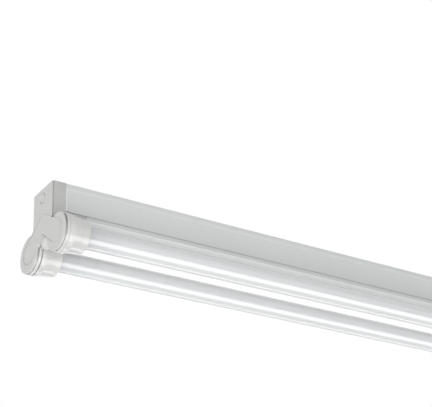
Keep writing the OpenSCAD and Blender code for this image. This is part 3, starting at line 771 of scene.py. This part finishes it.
def slot_tool(x):
    reach = Vector((SLOT_LENGTH, SLOT_WIDTH, THROUGH)) / 2 * MM
    tool = solid_block("slot_tool", Vector((x, 0, 0)) - reach, Vector((x, 0, 0)) + reach)
    mode("EDIT")
    pick("EDGE", lambda m: near(m.z, 0))
    round_picked(SLOT_WIDTH / 2 - 0.01, 12)
    mode("OBJECT")
    return tool


def hole_tool(x, y, radius):
    return solid_round("hole_tool", (x, y, 0), radius, THROUGH, "Z")


for side in (LEFT, RIGHT):
    join_or_cut(spine, slot_tool(side * SLOT_X * MM))
    for row in (FRONT, REAR):
        join_or_cut(spine, hole_tool(at_end(side, CAP_SCREW_DEPTH), row * CAP_SCREW_Y * MM, CAP_SCREW_R))
join_or_cut(spine, hole_tool(grommet_x, 0, GROMMET_R))
mode("EDIT")
bpy.ops.mesh.select_all(action="SELECT")
bpy.ops.mesh.remove_doubles(threshold=SEAM_GAP * MM)
mode("OBJECT")
show(settle(spine, 35), spine_paint, "fixture", "paint_grey", "spine_channel")
count_faces("spine", spine)

# %% [markdown]
# Where the steel meets each end cap, a thin pale seal is pressed into the joint and shows as a bright line.
# Its pale colour is partly a painted highlight, standing in for the light that the joint's edge catches.
# It is a bent strip: the section of the channel, a little fuller than the side faces and just inside the top
# strip.

# %% The joint seals
JOINT_DEPTH, JOINT_HALF, JOINT_WALL = 1.3, 24.05, 0.9


def joint_seal(end, name):
    start, stop = sorted((at_end(end, CAP_DEPTH), at_end(end, CAP_DEPTH) - end * JOINT_DEPTH * MM))
    low = Vector((start, -JOINT_HALF * MM, spine_low.z + 0.1 * MM))
    high = Vector((stop, JOINT_HALF * MM, -0.05 * MM))
    strip = solid_block(name, low, high)
    inside = solid_block("seal_tool", low + Vector((-1, JOINT_WALL, -2)) * MM,
                         high + Vector((1, -JOINT_WALL, -JOINT_WALL)) * MM)
    join_or_cut(strip, inside)
    soften_edges(strip, 0.12)
    return settle(strip)

# %% [markdown]
# ## The end caps
#
# Each end cap is one moulding: a box that closes the spine, a short apron that carries the tray's section on,
# two arms that run down and outwards in a Y, and a round disc at the end of each arm. It could be cleaned up
# from the solid of the frame, but the arms have soft tapering sides, so the cap is built from simple bodies
# instead: each is started from a block, a drawn outline or a turned outline, and they are joined into one.

# %% The box, the apron and the spigot
CAP_WALL, FACE_WALL = 1.8, 2
APRON_HALF, APRON_KNEE, APRON_START, APRON_STOP = 22.2, -41.4, 16.0, 44.0
SPIGOT_HALF, SPIGOT_TOP, SPIGOT_LOW, SPIGOT_STOP = 22.8, -1.0, -30, 25.5
body_half = spine_high.y
box_bottom = tray_low.z


def end_block(name, depths, half, low, high):
    """A block at the left end between two depths in mm, two heights in metres, and as far to each side."""
    return solid_block(name, (at_end(LEFT, depths[0]), -half, low), (at_end(LEFT, depths[1]), half, high))


def cap_box():
    wall = CAP_WALL * MM
    box = end_block("end_cap_left_moulded", (0, CAP_DEPTH), body_half, box_bottom, 0)
    room = end_block("room_tool", (FACE_WALL, 19), body_half - wall, box_bottom + wall, -wall)
    return join_or_cut(box, room)


def apron():
    """The tray's section carried on from the box: a folded shape with a wall of its own."""
    w, knee, low, top = APRON_HALF, APRON_KNEE, box_bottom / MM, LIP_TOP
    flat, t = w - TRAY_BEVEL, CAP_WALL
    lean = t * (math.sqrt(2) - 1)
    outer = [(-w, top), (-w, knee), (-flat, low), (flat, low), (w, knee), (w, top)]
    inner = [(w - t, top), (w - t, knee + lean), (flat - lean, low + t), (-flat + lean, low + t),
             (-w + t, knee + lean), (-w + t, top)]
    return drawn("apron", outer + inner, APRON_START, APRON_STOP)


def spigot():
    """The short open sleeve that plugs into the spine."""
    depths = (APRON_START, SPIGOT_STOP)
    sleeve = end_block("spigot", depths, SPIGOT_HALF * MM, SPIGOT_LOW * MM, SPIGOT_TOP * MM)
    room = end_block("room_tool", (15, 27), (SPIGOT_HALF - CAP_WALL) * MM, (SPIGOT_LOW - 1) * MM,
                     (SPIGOT_TOP - CAP_WALL) * MM)
    return join_or_cut(sleeve, room)


# %% [markdown]
# The arms stand a little proud of the face. Each runs along two straight lines that touch a round end, so the
# outline is worked out from that: two root points on the middle line, and a circle near the lamp's axis.

# %% The arms and the discs
ARM_TOP, ARM_CROTCH = (0.0, -33.0), (0.0, -60.0)
ARM_END, ARM_END_R, ARM_END_STEPS = (34.6, -69.6), 13.7, 32
ARM_STEP = 0.8
ARM_BACK = 2.95


def touch(point, side):
    """Angle on the round end at which a line from that point touches it."""
    dy, dz = ARM_END[0] - point[0], ARM_END[1] - point[1]
    return math.atan2(dz, dy) + side * (math.pi / 2 + math.asin(ARM_END_R / math.hypot(dy, dz)))


ARM_UPPER, ARM_LOWER = touch(ARM_TOP, 1), touch(ARM_CROTCH, -1)


def arms_outline():
    turns = [ARM_UPPER + (ARM_LOWER - ARM_UPPER) * k / ARM_END_STEPS for k in range(ARM_END_STEPS + 1)]
    arc = [(ARM_END[0] + ARM_END_R * math.cos(t), ARM_END[1] + ARM_END_R * math.sin(t)) for t in turns]
    return [ARM_TOP] + arc + [ARM_CROTCH] + [(-y, z) for y, z in reversed(arc)]


def disc():
    outline = [(1.0, 0.0), (1.0, 22.3), (0.9, 22.65), (0.7, 22.8), (0.4, 22.75), (0.15, 22.5), (0.0, 22.0),
               (0.0, 21.1), (0.12, 20.9), (0.12, 0.0)]
    return turned("disc", outline, FRONT_AXIS, steps=128, closed=False)


def end_cap():
    cap = cap_box()
    join_or_cut(cap, apron(), "UNION")
    join_or_cut(cap, spigot(), "UNION")
    join_or_cut(cap, drawn("arms", arms_outline(), -ARM_STEP, ARM_BACK), "UNION")
    front_disc = settle(disc())
    rear_disc = copy_of(front_disc, "rear_disc", TO_REAR)
    join_or_cut(cap, front_disc, "UNION")
    join_or_cut(cap, rear_disc, "UNION")
    return cap


cap = end_cap()
count_faces("end cap joined", cap)

# %% [markdown]
# Then it is cut: the wire ways inside the arms, the hole of the blind plug with a shallow ring round it, the
# fine parting line that the mould leaves just behind the face, and the shadow lines along the arms. Last, the
# edges get their small rounds, which catch the light along the arms and the discs.

# %% Cut the end cap and round its edges
WAY_RUN, WAY_DROP, WAY_TOP = 35.0, 29.4, -41
WAY_START, WAY_STOP, WAY_HALF = 0.1, 2.0, 3.0
PLUG_HOLE_R = 5.15
PARTING_START, PARTING_STOP, PARTING_CUT = 0.4, 1.7, 0.9
SHADOW_INSIDE, SHADOW_WIDTH = 1.3, 1.9

plug_low, plug_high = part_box("entry_plug_left")
plug_middle = Vector((0, (plug_low.y + plug_high.y) / 2, (plug_low.z + plug_high.z) / 2))


def wire_way(row):
    """A bar along the wire way inside an arm."""
    reach = Vector(((WAY_STOP - WAY_START) / 2, math.hypot(WAY_RUN, WAY_DROP) / 2, WAY_HALF)) * MM
    bar = solid_block("wire_way", -reach, reach)
    bar.rotation_euler.x = -row * math.atan2(WAY_DROP, WAY_RUN)
    bar.location = (at_end(LEFT, (WAY_START + WAY_STOP) / 2), row * WAY_RUN / 2 * MM,
                    (WAY_TOP - WAY_DROP / 2) * MM)
    bpy.ops.object.transform_apply(location=True, rotation=True, scale=True)
    return bar


def parting_tool():
    """A thin frame round the box, a little deeper than its faces."""
    cut = PARTING_CUT * MM
    tool = end_block("parting_tool", (PARTING_START, PARTING_STOP), body_half + MM, box_bottom + 0.4 * MM, MM)
    return join_or_cut(tool, end_block("inner_tool", (0, 2), body_half - cut, -80 * MM, -cut))


def groove_tool(path):
    """A narrow blade along a path of (y, z), pointed at both ends, to cut a shadow line into the arms."""
    path = [Vector(p) for p in path]
    last = len(path) - 1
    left, right = [], []
    for i, here in enumerate(path):
        along = (path[min(i + 1, last)] - path[max(i - 1, 0)]).normalized()
        half = SHADOW_WIDTH / 2 * min(1.0, 0.2 + 3.2 * i / len(path), 0.2 + 3.2 * (last - i) / len(path))
        left.append(here + Vector((-along.y, along.x)) * half)
        right.append(here - Vector((-along.y, along.x)) * half)
    return drawn("groove_tool", left + right[::-1], -ARM_STEP - 0.5, -ARM_STEP + 0.9)


def rim(turn):
    """A point of the shadow line's path round an arm's end."""
    return Vector(ARM_END) + Vector((math.cos(turn), math.sin(turn))) * (ARM_END_R - SHADOW_INSIDE)


def shadow_lines():
    """Just inside the upper edge and end of the rear arm, and inside the lower edge of the front arm."""
    start, stop = Vector(ARM_TOP) - Vector((0, 1.5)), rim(ARM_UPPER)
    rear = [start.lerp(stop, k / 10) for k in range(10)]
    rear += [rim(ARM_UPPER + (math.radians(-92) - ARM_UPPER) * k / 18) for k in range(19)]
    start, stop = Vector(ARM_CROTCH) + Vector((0, 1.6)), rim(ARM_LOWER)
    front = [start.lerp(stop, 0.06 + 0.94 * k / 10) for k in range(10)]
    front += [rim(ARM_LOWER + (ARM_UPPER - ARM_LOWER) * 0.11 * k / 4) for k in range(5)]
    return rear, [(-y, z) for y, z in front]


def cut_cap(cap):
    for row in (FRONT, REAR):
        join_or_cut(cap, wire_way(row))
        hole_at = (at_end(LEFT, 2.5), row * LAMP_Y, LAMP_Z)
        join_or_cut(cap, solid_round("wire_hole", hole_at, WAY_HALF, 2.4))
    join_or_cut(cap, end_block("wire_room", (WAY_START, 4), 7 * MM, -42 * MM, -34 * MM))
    plug_at = (at_end(LEFT, 1), plug_middle.y, plug_middle.z)
    join_or_cut(cap, solid_round("plug_hole", plug_at, PLUG_HOLE_R, 6))
    plug_ring = [(-1.0, 5.45), (-1.0, 6.4), (1.3, 6.3), (1.3, 5.5)]
    join_or_cut(cap, settle(turned("ring_tool", plug_ring, plug_middle, steps=64)))
    join_or_cut(cap, parting_tool())
    for path in shadow_lines():
        join_or_cut(cap, groove_tool(path))
    soften_edges(cap, 0.3, segments=2, angle=28)
    return settle(cap, 32)


def show_pair(piece, finish, slot, *nodes):
    """Show a fixed piece of the left end, and its mirror image at the right end."""
    right = copy_of(piece, piece.name.replace("left", "right"), mirror=True)
    show(piece, finish, "fixture", slot, *nodes)
    show(right, finish, "fixture", slot, *[node.replace("left", "right") for node in nodes])


cut_cap(cap)
show_pair(cap, cap_plastic, "plastic_grey", "end_cap_left")
for side, word in ENDS:
    show(joint_seal(side, "joint_seal_" + word), seal_white, "fixture", "plastic_white")
count_faces("end cap", cap)

# %% [markdown]
# The round blind plug in the cap's face closes a second cable way. It is turned: a thin head with a rounded
# rim and a shallow dish, on a stub with a snap rim behind the wall.

# %% Turn the blind plugs
plug_outline = [(-0.3, 0.0), (-0.3, 4.0), (-0.65, 4.4), (-0.65, 5.0), (-0.3, 5.4), (0.2, 5.35), (0.3, 5.0),
                (2.1, 5.0), (2.15, 5.3), (3.2, 5.1), (3.2, 4.0), (0.9, 3.9), (0.9, 0.0)]
plug = settle(turned("blind_plug_left", softened(plug_outline, 0.2, closed=False), plug_middle, steps=64,
                     closed=False))
show_pair(plug, plug_plastic, "plastic_white", "entry_plug_left")
count_faces("blind plug", plug)

# %% [markdown]
# ## The lampholders
#
# Behind each disc sits a lampholder: a flange, then a short collar with a coarse thread that the screw ring
# runs on. The body is turned. The flange's rim carries fine ribs, so that it can be gripped while the ring is
# screwed on. They are made by taking every second face of the rim and pushing it in a little.

# %% Turn a lampholder and rib its flange
RIM_R = 23.2
NECK_DROP = 1.6
HOLDER_STEPS = 144
holder_outline = [(1.3, 15.0), (1.3, 19.4), (3.6, 19.4), (3.6, 22.9), (3.9, 23.2), (6.65, 23.2), (6.8, 23.0),
                  (6.8, 19.6), (13.4, 19.6), (13.4, 10.8), (6.2, 10.8), (6.2, 2.0), (3.4, 2.0), (3.4, 15.0)]


def press_in(end, start, stop, radius, wanted, edge, depth, each):
    """Push in the faces of a turned band between two depths, outside a radius, at the wanted turns."""
    low, high = sorted((at_end(end, start), at_end(end, stop)))

    def on_band(m):
        reach, turn = around(m)
        return low < m.x < high and reach > radius * MM and wanted(turn)

    mode("EDIT")
    pick("FACE", on_band)
    bpy.ops.mesh.inset(thickness=edge * MM, depth=-depth * MM, use_individual=each)
    mode("OBJECT")


def rib(start, stop, depth, steps):
    """Push every second face of a rim inwards, which leaves ribs between."""
    press_in(LEFT, start, stop, RIM_R - 0.1, lambda turn: math.floor(turn * steps + 1000) % 2 == 0,
             0.07, depth, True)


def lower_neck():
    """Move the neck behind the disc down, so that the gap round it is deep above and shallow below."""
    mode("EDIT")
    back = at_end(LEFT, 3.85)
    pick("VERT", lambda p: p.x < back and 18.9 * MM < around(p)[0] < 20 * MM)
    bpy.ops.transform.translate(value=(0, 0, -NECK_DROP * MM))
    mode("OBJECT")


def lampholder():
    piece = turned("holder_left_front_body", softened(holder_outline, 0.15), FRONT_AXIS, steps=HOLDER_STEPS)
    lower_neck()
    rib(4.0, 6.4, 0.1, HOLDER_STEPS)
    return piece


holder = lampholder()
count_faces("lampholder", holder)

# %% [markdown]
# The thread is a ridge that climbs 3.6 mm in almost one turn. A Screw modifier draws it: its little cross
# section is turned round the lamp's axis while it moves along it. Both its ends are filled and its foot lies
# inside the collar, so it can be joined on as one body. Then the slot is cut through which the lamp's pins go
# in from below.

# %% Add the thread and cut the pin slot
THREAD_START, THREAD_RISE, THREAD_TURN = 7.0, 3.6, 0.98
THREAD_STEPS = 72


def thread_ridge():
    section = [(0.3, 19.2), (0.5, 19.6), (0.95, 20.35), (1.75, 20.35), (2.2, 19.6), (2.4, 19.2)]
    points = [Vector((at_end(LEFT, THREAD_START + d), FRONT_AXIS.y, FRONT_AXIS.z + r * MM))
              for d, r in section]
    piece = chain("thread_ridge", points)
    bpy.ops.mesh.edge_face_add()
    mode("OBJECT")
    bpy.ops.object.transform_apply(location=True, rotation=True, scale=True)
    SCENE.cursor.location = FRONT_AXIS
    bpy.ops.object.origin_set(type="ORIGIN_CURSOR")
    apply_modifier(piece, "SCREW", axis="X", steps=THREAD_STEPS, render_steps=THREAD_STEPS,
                   angle=math.tau * THREAD_TURN, screw_offset=THREAD_RISE * MM, use_merge_vertices=False)
    mode("EDIT")
    face_outwards(merge=0.001, fill=True)
    return piece


join_or_cut(holder, thread_ridge(), "UNION")
pin_slot = solid_block("slot_tool", (at_end(LEFT, 6.2), -LAMP_Y - 1.4 * MM, LAMP_Z - 25 * MM),
                       (at_end(LEFT, 15), -LAMP_Y + 1.4 * MM, LAMP_Z))
join_or_cut(holder, pin_slot)
settle(holder, 28)
count_faces("lampholder with its thread", holder)

# %% [markdown]
# Between the two holders of an end, a short bridge runs back from the crotch of the arms, under the box. It
# is drawn as a flat outline and pulled out, like the arms, and its edges are rounded.

# %% Draw the bridge between the holders
def holder_bridge():
    side = [(15, -46.2), (13, -56), (11.0, -64), (7.0, -74)]
    bridge = drawn("bridge_left_moulded", [(-y, z) for y, z in side] + side[::-1], 2.9, 12.0)
    soften_edges(bridge, 1.0, segments=3)
    return settle(bridge, 32)


bridge = holder_bridge()
show_pair(bridge, holder_plastic, "plastic_white")
count_faces("bridge between the holders", bridge)

# %% [markdown]
# ## The screw rings and their seals
#
# A ring screws onto each lampholder and presses a rubber seal against the tube. Its outline has a ribbed grip
# band, a small step, a long body that narrows towards the lamp, faint rings left by the mould, and a rounded
# nose with a rolled lip. The rings of the rear lamp stand a little further off their holders than the front
# ones.

# %% Turn a ring
RING_STEPS = 192
ring_gap = {FRONT: 7.0, REAR: 7.95}


def ring_outline(x):
    """Points of (depth, radius): the outside from the holder to the nose, then the bore on the way back."""
    body = [(x, 23.0), (x + 0.25, 23.2), (x + 5.2, 23.2), (x + 5.6, 22.95), (x + 6.1, 22.6), (x + 6.9, 22.6),
            (x + 7.1, 22.48), (x + 12.0, 22.05), (x + 12.2, 21.93), (x + 17.5, 21.45), (x + 17.7, 21.33),
            (x + 23.0, 20.9), (x + 23.3, 20.62), (x + 25.2, 20.4)]
    nose = [(x + 25.2 + 1.6 * math.sin(math.radians(a)), 18.8 + 1.6 * math.cos(math.radians(a)))
            for a in (15, 30, 45, 60, 75, 90)]
    bore = [(x + 26.8, 16.7), (x + 26.45, 16.3), (x + 24.6, 16.3), (x + 24.6, 18.7), (x + 10.6, 18.7),
            (x + 8.6, 20.85), (x + 0.5, 20.85), (x, 21.3)]
    return body + nose + bore


def screw_ring():
    x = ring_gap[FRONT]
    piece = turned("ring_left_front_body", ring_outline(x), FRONT_AXIS, steps=RING_STEPS)
    rib(x + 0.6, x + 5.2, 0.16, RING_STEPS)
    return settle(piece, 28)


ring = screw_ring()
count_faces("screw ring", ring)

# %% Turn a seal
SEAL_BORE = 13.4


def seal_outline(x):
    outline = [(x + 9.8, SEAL_BORE), (x + 9.8, 17.4), (x + 10.8, 18.4), (x + 24.3, 18.4), (x + 24.3, 16.0),
               (x + 28.2, 16.0), (x + 28.2, SEAL_BORE)]
    return softened(outline, 0.9, parts=4)


seal = settle(turned("seal_left_front_body", seal_outline(ring_gap[FRONT]), FRONT_AXIS))
count_faces("seal", seal)

# %% Set the holders, rings and seals at all four places
for side, end_word in ENDS:
    for row, row_word in ROWS:
        if (side, row) == (LEFT, FRONT):
            continue
        place = end_word + "_" + row_word
        move_y = 0 if row == FRONT else 2 * LAMP_Y
        back = -side * (ring_gap[row] - ring_gap[FRONT]) * MM
        for source, kind, finish, body, slot, x in (
                (holder, "holder", holder_plastic, "fixture", "plastic_white", 0),
                (ring, "ring", ring_plastic, "ring_" + place, "plastic_white", back),
                (seal, "seal", seal_rubber, "seal_" + place, "rubber_grey", back)):
            copy = copy_of(source, kind + "_" + place + "_body", (x, move_y, 0), mirror=side == RIGHT)
            show(copy, finish, body, slot, kind + "_" + place)
show(holder, holder_plastic, "fixture", "plastic_white", "holder_left_front")
show(ring, ring_plastic, "ring_left_front", "plastic_white", "ring_left_front")
show(seal, seal_rubber, "seal_left_front", "rubber_grey", "seal_left_front")
print("holders, rings and seals are in place")

# %% [markdown]
# ## The lamps
#
# Each lamp is a glass tube, necked down inside a thin metal cap at each end. The cap has a rolled edge, a row
# of crimps where it grips the glass, and two pins. Most of that is inside the rings, but it shows when a ring
# is screwed off, so it is modelled too.

# %% Turn the glass
def lamp_tube():
    length = 2 * END_X / MM
    half = [(18.5, 11.4), (18.5, 12.2), (24.6, 12.25), (25.4, 12.6), (26.05, 12.85), (26.6, 12.97),
            (27.5, 13.0)]
    outline = half + [(length - d, r) for d, r in reversed(half)]
    outline += [(length - 27.5, 11.4), (length - 27.5, 12.1), (27.5, 12.1), (27.5, 11.4)]
    return settle(turned("lamp_front_tube", outline, FRONT_AXIS, steps=128), 40)


tube = lamp_tube()
tube_rear = copy_of(tube, "lamp_rear_tube", TO_REAR)
show(tube, tube_glass, "lamp_front", "tube_glass", "lamp_front_glass")
show(tube_rear, tube_glass, "lamp_rear", "tube_glass", "lamp_rear_glass")
count_faces("lamp tube", tube)

# %% Turn the metal caps and crimp them
PIN_Y, PIN_R, PIN_FOOT_R = 6.35, 1.175, 1.9
LAMP_CAP_STEPS = 96


def lamp_cap(end):
    outline = [(13.5, 2.6), (13.5, 10.8), (13.7, 12.0), (14.3, 12.75), (15.0, 13.05), (20.6, 13.1),
               (21.0, 12.85), (22.0, 12.8), (22.4, 13.1), (25.4, 13.1), (25.9, 13.02), (26.0, 12.85),
               (25.6, 12.6), (15.1, 12.55), (14.9, 10.8), (14.9, 2.6)]
    piece = turned("lamp_cap", outline, FRONT_AXIS, end, steps=LAMP_CAP_STEPS)
    press_in(end, 21.1, 21.9, 12.7, lambda turn: math.floor(turn * LAMP_CAP_STEPS + 960) % 8 < 2,
             0.1, 0.35, False)
    plate = solid_round("cap_plate", (at_end(end, 14.3), FRONT_AXIS.y, FRONT_AXIS.z), 3.0, 0.9, sides=48)
    return [settle(piece), settle(plate)]


def pin_pair(end):
    outline = [(6.4, 0.0), (6.4, PIN_R), (13.4, PIN_R), (13.4, PIN_FOOT_R), (13.52, PIN_FOOT_R),
               (16.4, PIN_FOOT_R), (16.4, 0.0)]
    outline = softened(outline, 0.35, parts=3, closed=False)
    pins = [turned("pin", outline, FRONT_AXIS + Vector((0, y * MM, 0)), end, steps=32, closed=False)
            for y in (-PIN_Y, PIN_Y)]
    return [joined(pins)]


def both_ends(maker, name):
    """Make a lamp's end pieces and join them into one object, as the frame's node holds both ends."""
    joined(maker(LEFT) + maker(RIGHT))
    return named(name)


caps = both_ends(lamp_cap, "lamp_front_caps")
pins = both_ends(pin_pair, "lamp_front_pins_turned")
for source, kind, finish, slot in ((caps, "ferrules", cap_alloy, "alloy"),
                                   (pins, "pins", pin_nickel, "brass")):
    copy = copy_of(source, source.name.replace("front", "rear"), TO_REAR)
    show(source, finish, "lamp_front", slot, "lamp_front_" + kind)
    show(copy, finish, "lamp_rear", slot, "lamp_rear_" + kind)
count_faces("lamp caps", caps)

# %% [markdown]
# ## The gear tray
#
# The tray closes the spine from below and carries the ballast. It is folded from sheet too: a flat bottom, a
# bevel along each side and an upright lip tucked into the spine. It is made like the spine, from the bottom
# up.

# %% Fold the tray
STUD_X, STUD_R, STUD_HEIGHT, SCREW_HOLE_R = 148, 2.0, 7, 2.9


def folded_tray():
    low, wide, knee, top = tray_low.z, tray_high.y, tray_low.z + TRAY_BEVEL * MM, LIP_TOP * MM
    flat = wide - TRAY_BEVEL * MM
    piece = flat_sheet("gear_tray_folded", tray_high.x, flat, low)
    pick("EDGE", lambda m: near(abs(m.y), flat))
    draw_out(knee - low)
    bpy.ops.transform.resize(value=(1, wide / flat, 1), center_override=(0, 0, knee))
    draw_out(top - knee)
    pick("EDGE", lambda m: near(m.x, 0) and (near(m.z, knee) or near(m.z, low)) and abs(m.y) > flat / 2)
    round_picked(0.6, 3)
    return thickened(piece)


tray = folded_tray()
for side in (LEFT, RIGHT):
    hole_at = (at_end(side, SCREW_DEPTH), 0, tray_low.z)
    stud_at = (side * STUD_X * MM, 0, tray_low.z + 4.1 * MM)
    join_or_cut(tray, solid_round("hole_tool", hole_at, SCREW_HOLE_R, 4, "Z", 48))
    stud = solid_round("stud", stud_at, STUD_R, STUD_HEIGHT, "Z", 32)
    join_or_cut(tray, stud, "UNION")
show(settle(tray, 35), tray_paint, "tray", "paint_white", "gear_tray")
print("tray:", len(tray.data.polygons), "faces", [round(v / MM, 1) for v in tray.dimensions])

# %% [markdown]
# Two slotted captive screws hold the tray. The head is a low cheese head with rounded edges, and the slot is
# cut across it.

# %% Make the tray screws and their washers
HEAD_R, HEAD_HEIGHT, SHANK_R = 4.5, 2.0, 2.4
HEAD_SLOT_WIDTH, HEAD_SLOT_DEPTH = 1.2, 1.1
WASHER_BORE_R, WASHER_R = 2.5, 5.0

screw_low, screw_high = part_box("tray_screw_left")
washer_low, washer_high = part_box("screw_washer_left")


def tray_screw(end, name):
    head, tip, x = screw_low.z / MM, screw_high.z / MM, at_end(end, SCREW_DEPTH)
    outline = [(head, 0.0), (head, HEAD_R), (head + HEAD_HEIGHT, HEAD_R), (head + HEAD_HEIGHT, SHANK_R),
               (tip, SHANK_R), (tip, 0.0)]
    outline = softened(outline, 0.5, parts=3, closed=False)
    piece = turned(name, outline, Vector((x, 0, 0)), steps=48, axis="Z", closed=False)
    half = HEAD_SLOT_WIDTH / 2 * MM
    slot = solid_block("slot_tool", (x - 6 * MM, -half, screw_low.z - 1 * MM),
                       (x + 6 * MM, half, screw_low.z + HEAD_SLOT_DEPTH * MM))
    join_or_cut(piece, slot)
    return settle(piece, 35)


def washer(end, name):
    low, high = washer_low.z / MM, washer_high.z / MM
    outline = [(low, WASHER_BORE_R), (low, WASHER_R), (high, WASHER_R), (high, WASHER_BORE_R)]
    middle = Vector((at_end(end, SCREW_DEPTH), 0, 0))
    return settle(turned(name, softened(outline, 0.15), middle, steps=48, axis="Z"))


for side, word in ENDS:
    screw = tray_screw(side, "tray_screw_turned_" + word)
    show(screw, screw_zinc, "tray_screw_" + word, "steel", "tray_screw_" + word)
    ringlet = washer(side, "washer_turned_" + word)
    show(ringlet, screw_zinc, "tray_screw_" + word, "steel", "screw_washer_" + word)
count_faces("tray screw", screw)

# %% [markdown]
# ## What is inside
#
# The gear, the contacts and the wiring already have their right shapes in the frame. They keep them and get
# their finishes here.

# %% Finish the pieces that keep their shape
kept = {
    cap_alloy: ["ballast_case", "ballast_lid"],
    sheet_zinc: ["tray_anchor_left", "tray_anchor_right", "ballast_nuts"],
    screw_zinc: ["cap_screws"],
    contact_brass: ["contacts_left", "contacts_right", "terminal_screws", "earth_stud"],
    clip_plastic: ["lead_clips", "lead_sockets", "terminal_block", "ballast_terminals"],
    holder_plastic: ["lamp_front_rotors", "lamp_rear_rotors"],
    clear_stem: ["lamp_front_cathodes", "lamp_rear_cathodes"],
    lead_sheath: ["leads_left", "leads_right"],
    gasket_rubber: ["tray_gasket"],
    grommet_rubber: ["cable_grommet"],
    board_green: ["ballast_board"],
}
for finish, nodes in kept.items():
    for node in nodes:
        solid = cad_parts[node]
        if not solid.data.materials:
            solid.data.materials.append(finish)
        for i in range(len(solid.data.materials)):
            solid.data.materials[i] = finish
print("kept solids with their finishes:", sum(len(v) for v in kept.values()))
